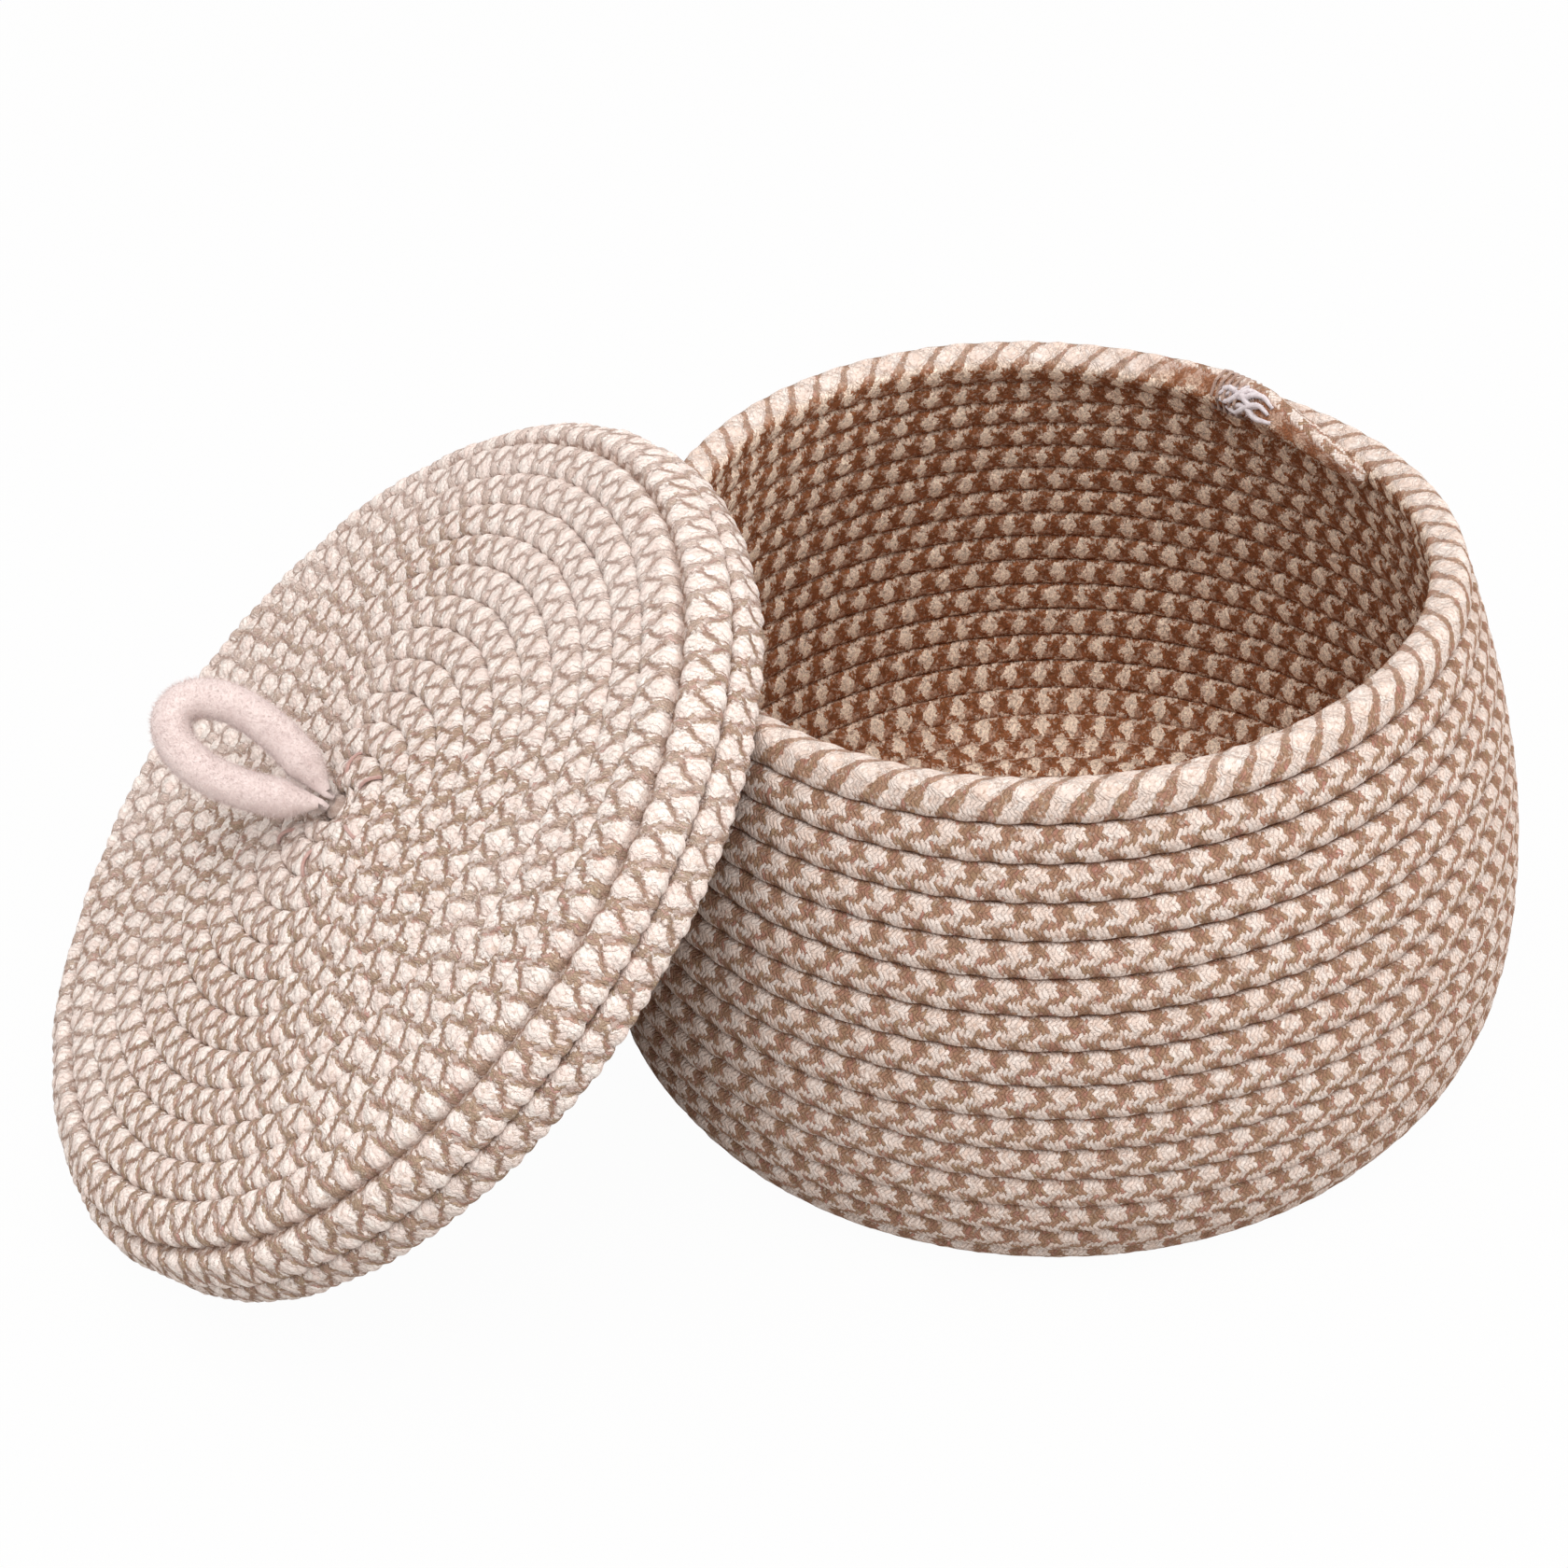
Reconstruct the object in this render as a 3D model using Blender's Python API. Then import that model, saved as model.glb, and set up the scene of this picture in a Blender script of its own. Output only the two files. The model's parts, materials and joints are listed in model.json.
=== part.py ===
# A knitting basket coiled from braided rope, with its lid taken off and leaned on the rim.
# Metres, +Z up. The origin is on the basket's axis, on the surface that it stands on.
import math

import bpy
import numpy as np
from mathutils import Matrix, Vector
from mathutils.kdtree import KDTree

for old in list(bpy.data.objects):
    bpy.data.objects.remove(old, do_unlink=True)

# Rope and its turns
rope_diameter = 0.0083
turn_gap = 0.0009
steps_per_turn = 18
rope_sides = 6

# The rope's start at the middle of the base
entry_stub_share = 0.30
entry_bend_share = 0.80
entry_bend_width_share = 0.60
entry_room_share = 0.10
entry_bend_steps = 4

# Basket, measured over the outside of the rope
rim_radius = 0.1000
rim_height = 0.1421
belly_radius = 0.1193
belly_height = 0.0450
foot_radius = 0.0958
foot_power = 2.52
foot_flat_share = 0.1
rim_drop = 0.0020
rim_oval = 0.0011
rim_wave = 0.0023
wave_azimuth = math.radians(-30.0)
rim_dent = 0.0022
dent_azimuth = math.radians(-142.0)
dent_width = math.radians(20.0)
sway_power = 1.5

# Rope end at the rim: it sinks slowly behind the row below and tapers off
end_azimuth = math.radians(52.0)
dive_angle = math.radians(90.0)
dive_roll = math.radians(28.0)
tail_angle = math.radians(24.0)
tail_roll = math.radians(50.0)
tail_end_share = 0.4
whip_thread = 0.0009
whip_pitch = 0.0019
whip_turns = 5
whip_between = (8, 9)
curl_sides = 8

# Lid, measured over the outside of the rope
lid_radius = 0.1181
lid_skirt = 0.0237
lid_rise = 0.0037
lid_shoulder = 0.0145
lid_hole_radius = 0.0048
lid_end_azimuth = math.radians(100.0)
skirt_turns = 3
first_run_steps = 3

# How the lid leans
lean_azimuth = math.radians(19.9)
centre_azimuth = math.radians(195.15)
lean_tilt = math.radians(39.66)
floor_gap = 0.0005
lean_gap = 0.0009

# Cord loop on the lid
loop_cord = 0.0095
loop_length = 0.0415
loop_width = 0.0190
loop_leg_offset = 0.0015
loop_leg_gap = 0.0005
loop_tip_radius = 0.0008
loop_tip_length = 0.0024
loop_points = 34
pivot_height = 0.0034
loop_turn = math.radians(27.5)
loop_flop = math.radians(36.0)

# Knot and stitches that hold the loop
knot_radius = 0.0075
knot_height = 0.0080
neck_top_gap = 0.0006
knot_top_share = 0.8
knot_curve_shares = (0.12, 0.3, 0.5, 0.65)
lathe_sides = 16
stitch_thread = 0.0010
stitch_count = 5
stitch_spacing = 3
stitch_reach = math.radians(60.0)
stitch_points = 7
fit_gap = 0.0003

# Shared
cut_overrun = 0.0100
profile_steps = 400
search_steps = 26
sample_steps = 6

turn_pitch = rope_diameter + turn_gap
rope_radius = rope_diameter / 2
step_angle = 2 * math.pi / steps_per_turn
foot_cut = rope_diameter * foot_flat_share


def material(name, color, roughness):
    new = bpy.data.materials.new(name)
    new.use_nodes = True
    shader = new.node_tree.nodes["Principled BSDF"]
    shader.inputs["Base Color"].default_value = (*color, 1.0)
    shader.inputs["Roughness"].default_value = roughness
    shader.inputs["Metallic"].default_value = 0.0
    new.diffuse_color = (*color, 1.0)
    return new


def tube_mesh(name, points, radii, roll=0.0, twist="Z_UP"):
    # One unbroken tube with closed ends along the points; roll turns its flat sides about its line
    curve = bpy.data.curves.new(name, "CURVE")
    curve.dimensions = "3D"
    curve.twist_mode = twist
    curve.bevel_depth = 1.0
    # Blender gives a bevel four sides and two more for each step of resolution
    curve.bevel_resolution = (rope_sides - 4) // 2
    curve.use_fill_caps = True
    spline = curve.splines.new("POLY")
    spline.points.add(len(points) - 1)
    for place, point, radius in zip(spline.points, points, radii):
        place.co = (*point, 1.0)
        place.radius = radius
        place.tilt = roll
    carrier = bpy.data.objects.new(name, curve)
    bpy.context.scene.collection.objects.link(carrier)
    graph = bpy.context.evaluated_depsgraph_get()
    mesh = bpy.data.meshes.new_from_object(carrier.evaluated_get(graph))
    bpy.data.objects.remove(carrier, do_unlink=True)
    bpy.data.curves.remove(curve)
    mesh.name = name
    return mesh


def place(name, mesh, look, parent):
    thing = bpy.data.objects.new(name, mesh)
    bpy.context.scene.collection.objects.link(thing)
    mesh.materials.clear()
    mesh.materials.append(look)
    mesh.shade_smooth()
    thing.parent = parent
    return thing


def empty(name, parent, matrix):
    new = bpy.data.objects.new(name, None)
    bpy.context.scene.collection.objects.link(new)
    new.parent = parent
    new.matrix_local = matrix
    return new


def dense(points, steps):
    # Points along every straight run of a path, for measuring
    points = np.asarray(points)
    share = np.linspace(0.0, 1.0, steps, endpoint=False)[None, :, None]
    runs = points[:-1, None] + (points[1:, None] - points[:-1, None]) * share
    return np.concatenate([runs.reshape(-1, 3), points[-1:]])


def least_gap_to_itself(points, radii):
    # Least distance between two places of a tube that aren't neighbours along it, less their radii
    path = dense(points, sample_steps)
    thick = dense([(radius, 0.0, 0.0) for radius in radii], sample_steps)[:, 0]
    run = np.concatenate([[0.0], np.cumsum(np.linalg.norm(np.diff(path, axis=0), axis=1))])
    least = float("inf")
    for index in range(len(path)):
        away = np.abs(run - run[index]) > 2 * math.pi * thick[index]
        if away.any():
            gaps = np.linalg.norm(path[away] - path[index], axis=1) - thick[away] - thick[index]
            least = min(least, float(gaps.min()))
    return least


class Outline:
    # The rope's centre line in section, from the middle outwards, read by its length
    def __init__(self, points):
        self.points = np.asarray(points)
        steps = np.linalg.norm(np.diff(self.points, axis=0), axis=1)
        self.run = np.concatenate([[0.0], np.cumsum(steps)])
        self.length = float(self.run[-1])

    def at(self, run):
        radius = np.interp(run, self.run, self.points[:, 0])
        height = np.interp(run, self.run, self.points[:, 1])
        return radius, height


def basket_outline():
    floor = rope_radius - foot_cut
    points = [(0.0, floor)]
    side = foot_radius - rope_radius
    bulge = belly_radius - foot_radius
    for step in range(profile_steps + 1):
        angle = math.pi / 2 * (1 - step / profile_steps)
        out = math.cos(angle) ** (2 / foot_power)
        up = 1 - math.sin(angle) ** (2 / foot_power)
        points.append((side + bulge * out, floor + (belly_height - floor) * up))
    top = rim_height - rope_radius
    for step in range(1, profile_steps + 1):
        share = step / profile_steps
        inward = (belly_radius - rim_radius) * (1 - math.cos(share * math.pi / 2))
        points.append((belly_radius - rope_radius - inward, belly_height + (top - belly_height) * share))
    return Outline(points)


def lid_outline():
    # Heights are above the plane of the lid's open edge
    crown = lid_skirt + lid_rise - rope_radius
    corner = lid_shoulder - rope_radius
    flat_end = lid_radius - lid_shoulder
    points = []
    for step in range(profile_steps + 1):
        share = step / profile_steps
        points.append((flat_end * share, crown - lid_rise * share**2))
    slope = math.atan2(2 * lid_rise, flat_end)
    for step in range(1, profile_steps + 1):
        angle = slope + (math.pi / 2 - slope) * step / profile_steps
        drop = corner * (math.cos(slope) - math.cos(angle))
        out = corner * (math.sin(angle) - math.sin(slope))
        points.append((flat_end + out, crown - lid_rise - drop))
    # The last turn runs out half above and half below the edge's mean line
    points.append((points[-1][0], rope_radius - turn_pitch / 2))
    return Outline(points)


def coil(outline, end_angle, start_run):
    # Points of a coil that winds clockwise and outwards
    points = []
    index = 0
    run = outline.length
    while run >= start_run:
        radius, height = outline.at(run)
        angle = end_angle + index * step_angle
        points.append(Vector((radius * math.cos(angle), radius * math.sin(angle), height)))
        index += 1
        run = outline.length - turn_pitch * index / steps_per_turn
    points.reverse()
    return points


def split(points, index):
    # Two pieces of one rope, face to face at the middle of the run before the given point
    middle = (points[index - 1] + points[index]) / 2
    along = (points[index] - points[index - 1]).normalized() * fit_gap / 2
    return points[:index] + [middle - along], [middle + along] + points[index:]


def sway(point):
    # The soft rim is a little oval, lower at the back, waves twice a turn and gives under the lid
    share = max(point.z, 0.0) / rim_height
    weight = share**sway_power
    angle = math.atan2(point.y, point.x)
    spread = 1 - weight * rim_oval * math.cos(2 * angle) / rim_radius
    wave = rim_wave * math.cos(2 * (angle - wave_azimuth))
    dent = rim_dent * math.exp(-(math.remainder(angle - dent_azimuth, 2 * math.pi) / dent_width)**2)
    lift = weight * (wave - dent - rim_drop * math.sin(angle))
    return Vector((point.x * spread, point.y * spread, point.z + lift))


def entry(first):
    # The rope starts with a straight run across the axis and turns back round its own end
    height = first.z
    bend = turn_pitch * entry_bend_share
    width = turn_pitch * entry_bend_width_share
    stub_end = rope_diameter * entry_stub_share
    flat = [Vector((stub_end - rope_diameter, 0.0, height)), Vector((stub_end, 0.0, height))]
    for step in range(1, entry_bend_steps + 1):
        angle = math.pi * step / entry_bend_steps
        flat.append(Vector((stub_end + width * math.sin(angle), bend * (math.cos(angle) - 1), height)))
    turned = Matrix.Rotation(math.atan2(first.y, first.x) + math.pi / 2, 3, "Z")
    return [turned @ point for point in flat]


def dive(rows):
    # Past its last whole turn the rope sinks behind the row below it, then rolls in and tapers off
    half = step_angle / 2
    count = round((dive_angle + tail_angle) / half)
    whip_room = whip_reach + fit_gap - rope_radius - turn_gap
    points = []
    radii = []
    for step in range(1, count + 1):
        turned = step * half
        back = len(rows) - 1 - steps_per_turn + turned / step_angle
        low = int(math.floor(back))
        below = rows[low].lerp(rows[low + 1], back - low)
        out = Vector((below.x, below.y, 0.0)).normalized()
        rise = (rows[-1] - rows[-1 - steps_per_turn]).normalized()
        lean = math.atan2(math.hypot(rise.x, rise.y), rise.z)
        share = min(turned / dive_angle, 1.0)
        taper = max(turned - dive_angle, 0.0) / tail_angle
        roll = lean + dive_roll * share**2 + tail_roll * taper
        radius = rope_radius * (1 - taper * (1 - tail_end_share))
        room = whip_room if step in whip_between else 0.0
        away = rope_radius + radius + turn_gap + room
        points.append(below + away * (Vector((0.0, 0.0, math.cos(roll))) - out * math.sin(roll)))
        radii.append(radius)
    return points, radii


def wound(start, end, radius, pitch, turns, side_count):
    # A thread wound round a straight stretch, centred between its two ends
    axis = (end - start).normalized()
    first = axis.orthogonal().normalized()
    second = axis.cross(first)
    middle = (start + end) / 2
    points = []
    for step in range(turns * side_count + 1):
        angle = 2 * math.pi * step / side_count
        shift = pitch * (step / side_count - turns / 2)
        points.append(middle + axis * shift + radius * (first * math.cos(angle) + second * math.sin(angle)))
    return points


def lathe_mesh(name, outline):
    # A turned solid with its two ends on the axis
    mesh = bpy.data.meshes.new(name)
    verts = [(0.0, 0.0, outline[0][1])]
    for radius, height in outline[1:-1]:
        for side in range(lathe_sides):
            angle = 2 * math.pi * side / lathe_sides
            verts.append((radius * math.cos(angle), radius * math.sin(angle), height))
    verts.append((0.0, 0.0, outline[-1][1]))
    top = len(verts) - 1
    faces = []
    rings = len(outline) - 2
    for side in range(lathe_sides):
        after = (side + 1) % lathe_sides
        faces.append((0, 1 + after, 1 + side))
        for ring in range(rings - 1):
            low = 1 + ring * lathe_sides
            high = low + lathe_sides
            faces.append((low + side, low + after, high + after, high + side))
        last = 1 + (rings - 1) * lathe_sides
        faces.append((last + side, last + after, top))
    mesh.from_pydata(verts, [], faces)
    mesh.validate()
    return mesh


def loop_path():
    # A teardrop in the XZ plane: two legs side by side at the pivot, widest near the tip
    legs = [-loop_tip_length, 0.0]
    points = []
    radii = []
    # The largest value that side below takes
    widest = 4 / (3 * math.sqrt(3))
    for step in range(loop_points + 1):
        angle = 2 * math.pi * step / loop_points
        side = math.sin(angle) * abs(math.sin(angle / 2))
        offset = loop_leg_offset * math.cos(angle / 2)
        across = offset + (loop_width / 2 - loop_leg_offset) * side / widest
        height = loop_length * (1 - math.cos(angle)) / 2
        near_leg = 4 * min(step, loop_points - step) < loop_points
        room = abs(across) - loop_leg_gap / 2
        points.append(Vector((across, 0.0, height)))
        radii.append(min(loop_cord / 2, room) if near_leg else loop_cord / 2)
    tip = Vector((0.0, 0.0, -loop_tip_length))
    points = [points[0] + tip] + points + [points[-1] + tip]
    radii = [loop_tip_radius] + radii + [loop_tip_radius]
    return points, radii


def stitch_path(centre, out, radius):
    # A short thread over one turn of rope, from its inner side to its outer side
    points = []
    for step in range(stitch_points):
        angle = math.pi / 2 + stitch_reach * (1 - 2 * step / (stitch_points - 1))
        points.append(centre + radius * (out * math.cos(angle) + Vector((0.0, 0.0, math.sin(angle)))))
    return points


upright_roll = math.pi / (2 * rope_sides)
whip_radius = (rope_radius + fit_gap + whip_thread / 2) / math.cos(math.pi / curl_sides)
whip_reach = whip_radius + whip_thread / 2

cream = material("cotton_cream_taupe", (0.62, 0.49, 0.40), 0.9)
lid_cream = material("cotton_lid", (0.66, 0.55, 0.46), 0.9)
pink_felt = material("cord_pale_pink", (0.80, 0.68, 0.68), 0.95)
lilac = material("thread_lilac", (0.72, 0.66, 0.74), 0.8)
rose = material("thread_rose", (0.72, 0.50, 0.48), 0.8)

# Basket: base coil, then wall coil up to the rim, the same rope
basket_line = basket_outline()
entry_run = turn_pitch * (2 * entry_bend_share + entry_room_share)
rows = [sway(point) for point in coil(basket_line, end_azimuth + dive_angle, entry_run)]
flat_reach = foot_radius - rope_radius
foot_index = next(i for i, point in enumerate(rows) if math.hypot(point.x, point.y) > flat_reach)
whole = entry(rows[0]) + rows
base_path, wall_path = split(whole, foot_index + len(whole) - len(rows))
dive_points, dive_radii = dive(rows)
wall_radii = [rope_radius] * len(wall_path) + dive_radii
wall_path = wall_path + dive_points

basket = empty("basket_axis", None, Matrix())
base_radii = [rope_radius] * len(base_path)
base_coil = place("base_coil", tube_mesh("base_coil", base_path, base_radii), cream, basket)
wall_coil = place("wall_coil", tube_mesh("wall_coil", wall_path, wall_radii, upright_roll), cream, basket)
measured = [("base_coil", base_path, base_radii), ("wall_coil", wall_path, wall_radii)]

# The rope that carries the basket is worn flat underneath
cutter_mesh = bpy.data.meshes.new("floor_cutter")
reach = belly_radius + cut_overrun
corners = [(x * reach, y * reach, z * cut_overrun) for x in (-1, 1) for y in (-1, 1) for z in (-1, 0)]
walls = [(0, 1, 3, 2), (4, 6, 7, 5), (0, 4, 5, 1), (2, 3, 7, 6), (0, 2, 6, 4), (1, 5, 7, 3)]
cutter_mesh.from_pydata(corners, [], walls)
cutter = bpy.data.objects.new("floor_cutter", cutter_mesh)
bpy.context.scene.collection.objects.link(cutter)
cutter.hide_render = True
cutter.display_type = "WIRE"
for carried in (base_coil, wall_coil):
    flatten = carried.modifiers.new("flat_foot", "BOOLEAN")
    flatten.operation = "DIFFERENCE"
    flatten.solver = "EXACT"
    flatten.object = cutter

# Thread round the rope where it dives at the rim
whip_start, whip_end = (dive_points[step - 1] for step in whip_between)
whip_path = wound(whip_start, whip_end, whip_radius, whip_pitch, whip_turns, curl_sides)
whip_radii = [whip_thread / 2] * len(whip_path)
place("rim_whipping", tube_mesh("rim_whipping", whip_path, whip_radii), lilac, basket)
measured.append(("rim_whipping", whip_path, whip_radii))

# Lid: dome and skirt of one rope, in the lid's own frame, +X towards its raised side
lid_line = lid_outline()
lid_rows = coil(lid_line, lid_end_azimuth, lid_hole_radius + rope_radius)
del lid_rows[1:first_run_steps]
dome_path, skirt_path = split(lid_rows, len(lid_rows) - 1 - skirt_turns * steps_per_turn)

turned = Matrix.Rotation(lean_azimuth, 4, "Z") @ Matrix.Rotation(-lean_tilt, 4, "Y")
lid_dense = dense([turned @ point for point in lid_rows], sample_steps)
lid_height = rope_radius + floor_gap - lid_dense[:, 2].min()
wall_tree = KDTree(len(wall_path) * sample_steps)
for number, spot in enumerate(dense(wall_path, sample_steps)):
    wall_tree.insert(spot, number)
wall_tree.balance()


def lean_room(distance):
    shift = np.array([distance * math.cos(centre_azimuth), distance * math.sin(centre_azimuth), lid_height])
    return min(wall_tree.find(spot)[2] for spot in lid_dense + shift) - rope_diameter


# The lid is slid up to the basket until it rests on the rim
far = lid_radius + belly_radius
step = turn_pitch / 2
while lean_room(far - step) > lean_gap:
    far -= step
near = far - step
for _ in range(search_steps):
    middle = (near + far) / 2
    if lean_room(middle) > lean_gap:
        far = middle
    else:
        near = middle
lid_centre = Vector((far * math.cos(centre_azimuth), far * math.sin(centre_azimuth), lid_height))
lid_frame = Matrix.Translation(lid_centre) @ turned
lid = empty("lid_frame", basket, lid_frame)
for name, path, roll in (("lid_dome_coil", dome_path, 0.0), ("lid_skirt_coil", skirt_path, upright_roll)):
    radii = [rope_radius] * len(path)
    place(name, tube_mesh(name, path, radii, roll), lid_cream, lid)
    measured.append((name, path, radii))

# Knot under the lid, with its neck up through the hole
apex = lid_skirt + lid_rise
under = apex - rope_radius * (1 + math.cos(math.pi / rope_sides)) - fit_gap
hole_run_radius = (lid_hole_radius + rope_radius) * math.cos(first_run_steps * step_angle / 2)
neck_radius = hole_run_radius - rope_radius - fit_gap
neck_top = apex + neck_top_gap
knot_outline = [(0.0, under - knot_height)]
for share in knot_curve_shares:
    angle = math.pi * share
    height = under - knot_height * (1 + math.cos(angle)) / 2
    knot_outline.append((knot_radius * math.sin(angle), height))
knot_outline += [(knot_radius * knot_top_share, under), (neck_radius, under)]
knot_outline += [(neck_radius, neck_top - neck_radius / 2), (neck_radius / 2, neck_top), (0.0, neck_top)]
place("loop_knot", lathe_mesh("loop_knot", knot_outline), pink_felt, lid)

# Stitches over the lid's first turn
stitch_radius = (rope_radius + fit_gap + stitch_thread / 2) / math.cos(stitch_reach / (stitch_points - 1))
for number in range(stitch_count):
    under_stitch = lid_rows[1 + number * stitch_spacing]
    out = Vector((under_stitch.x, under_stitch.y, 0.0)).normalized()
    path = stitch_path(under_stitch, out, stitch_radius)
    name = "loop_stitch_" + str(number + 1)
    place(name, tube_mesh(name, path, [stitch_thread / 2] * stitch_points), rose, lid)

# Cord loop, on its pivot across the two legs
pivot = Matrix.Translation((0.0, 0.0, apex + pivot_height))
flop = Matrix.Rotation(loop_turn, 4, "Z") @ Matrix.Rotation(-loop_flop, 4, "X")
loop_frame = empty("loop_pivot", lid, pivot @ flop)
loop_line, loop_radii = loop_path()
place("loop_handle", tube_mesh("loop_handle", loop_line, loop_radii, twist="MINIMUM"), pink_felt, loop_frame)
measured.append(("loop_handle", loop_line, loop_radii))

bpy.context.view_layer.update()
for name, path, radii in measured:
    print("least gap of", name, "to itself, mm:", round(1000 * least_gap_to_itself(path, radii), 2))
world = lid_frame @ pivot @ flop
print("lid centre", [round(v, 5) for v in lid_centre], "normal", [round(v, 5) for v in lid_frame.col[2][:3]])
print("loop pivot", [round(v, 5) for v in world.col[3][:3]], "axis", [round(v, 5) for v in world.col[0][:3]])
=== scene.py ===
import json
import math
import random

import bpy
import numpy as np
from mathutils import Matrix, Vector

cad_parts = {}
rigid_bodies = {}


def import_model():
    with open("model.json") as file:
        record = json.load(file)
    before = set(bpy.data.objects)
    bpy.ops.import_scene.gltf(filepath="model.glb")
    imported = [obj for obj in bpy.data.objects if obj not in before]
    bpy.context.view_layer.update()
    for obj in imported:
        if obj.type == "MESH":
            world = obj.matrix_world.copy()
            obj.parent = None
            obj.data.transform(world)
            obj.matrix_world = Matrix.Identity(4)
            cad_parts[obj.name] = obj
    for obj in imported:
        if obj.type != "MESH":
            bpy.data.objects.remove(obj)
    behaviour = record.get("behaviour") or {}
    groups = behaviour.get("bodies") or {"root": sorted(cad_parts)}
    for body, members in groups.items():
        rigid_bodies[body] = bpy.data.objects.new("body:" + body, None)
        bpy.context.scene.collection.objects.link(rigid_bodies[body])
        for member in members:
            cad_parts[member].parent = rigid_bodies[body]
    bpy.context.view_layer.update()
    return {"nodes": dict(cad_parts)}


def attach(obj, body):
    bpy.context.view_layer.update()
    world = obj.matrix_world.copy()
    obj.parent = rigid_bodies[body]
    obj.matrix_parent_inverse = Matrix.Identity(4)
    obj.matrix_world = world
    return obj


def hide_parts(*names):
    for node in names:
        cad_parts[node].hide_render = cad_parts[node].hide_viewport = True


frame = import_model()
scene = bpy.context.scene
print("packed model loaded:", len(frame["nodes"]), "nodes")


# ---- Camera, at the photograph's viewing angle
cameraValues = {
    "distance": 0.7813,          # from the point on the basket's axis that it is aimed past
    "aimHeight": 0.060,
    "elevation": 37.73,
    "roll": -4.0,
    "focalPixels": 3227.6,
    "axisPixel": (1123.5, 858.2),  # where that point falls in the 1680 x 1680 picture
    "pictureSize": 1680,
    "sensor": 36.0,
}


def makeCamera(values):
    size, focal = values["pictureSize"], values["focalPixels"]
    up = math.radians(values["elevation"])
    distance = values["distance"]
    place = Vector((0, -distance * math.cos(up), values["aimHeight"] + distance * math.sin(up)))
    straight = Vector((0, math.cos(up), -math.sin(up)))
    side = Vector((1, 0, 0))
    above = side.cross(straight)
    column, row = (pixel - size / 2 for pixel in values["axisPixel"])
    yaw = math.atan2(column, focal)
    pitch = math.atan2(row, math.hypot(focal, column))
    forward = math.cos(pitch) * (math.cos(yaw) * straight - math.sin(yaw) * side) + math.sin(pitch) * above
    right = forward.cross(Vector((0, 0, 1))).normalized()
    top = right.cross(forward)
    roll = math.radians(values["roll"])
    rightRolled = math.cos(roll) * right + math.sin(roll) * top
    topRolled = math.cos(roll) * top - math.sin(roll) * right
    data = bpy.data.cameras.new("photoCamera")
    data.sensor_width = values["sensor"]
    data.lens = focal / size * values["sensor"]
    data.clip_start, data.clip_end = 0.01, 20
    camera = bpy.data.objects.new("photoCamera", data)
    scene.collection.objects.link(camera)
    turn = Matrix((rightRolled, topRolled, -forward)).transposed()
    camera.matrix_world = Matrix.Translation(place) @ turn.to_4x4()
    scene.camera = camera


makeCamera(cameraValues)


# ---- Small helpers
def linear(red, green, blue):
    # A colour written as it looks on screen, 0 to 255, turned into the shader's linear values
    def one(value):
        share = value / 255
        return share / 12.92 if share <= 0.04045 else ((share + 0.055) / 1.055) ** 2.4
    return (one(red), one(green), one(blue), 1.0)


def maths(tree, operation, *inputs):
    # One Math node, in a shader tree or a Geometry Nodes tree, fed by sockets or plain numbers
    node = tree.nodes.new("ShaderNodeMath")
    node.operation = operation
    for socket, value in zip(node.inputs, inputs):
        if isinstance(value, (int, float)):
            socket.default_value = value
        else:
            tree.links.new(value, socket)
    return node.outputs[0]


def powerOf(tree, value, power):
    return maths(tree, "POWER", maths(tree, "ABSOLUTE", value), power)


def choose(tree, first, second, pick):
    # second where pick is 1, first where it is 0
    step = maths(tree, "SUBTRACT", second, first)
    return maths(tree, "MULTIPLY_ADD", step, pick, first)


def vectorOf(tree, x, y, z):
    node = tree.nodes.new("ShaderNodeCombineXYZ")
    for socket, value in zip(node.inputs, (x, y, z)):
        if isinstance(value, (int, float)):
            socket.default_value = value
        else:
            tree.links.new(value, socket)
    return node.outputs[0]


def vectorMaths(tree, operation, first, second=None, scale=None):
    node = tree.nodes.new("ShaderNodeVectorMath")
    node.operation = operation
    tree.links.new(first, node.inputs[0])
    if second is not None:
        tree.links.new(second, node.inputs[1])
    if scale is not None:
        if isinstance(scale, (int, float)):
            node.inputs["Scale"].default_value = scale
        else:
            tree.links.new(scale, node.inputs["Scale"])
    return node.outputs[0]


def noise(tree, vector, scale, detail=2.0, rough=0.5):
    node = tree.nodes.new("ShaderNodeTexNoise")
    node.inputs["Scale"].default_value = scale
    node.inputs["Detail"].default_value = detail
    node.inputs["Roughness"].default_value = rough
    tree.links.new(vector, node.inputs["Vector"])
    return node.outputs["Fac"]


# The braid: thirty-two strands, sixteen each way, four cream and four taupe in turn, over two and under two
braidValues = {
    "strands": 16,       # each way
    "period": 0.0088,    # along the rope, for eight strands
    "turned": 0.3,       # where the pattern starts round the rope, in strands
    "bunched": 0.07,     # how far the strands crowd together on top of the rope, in turns
    "bunchedStart": 0.056,
    "highEnds": 0.45,    # height of a strand's float at its two ends, as a share
}


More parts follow.
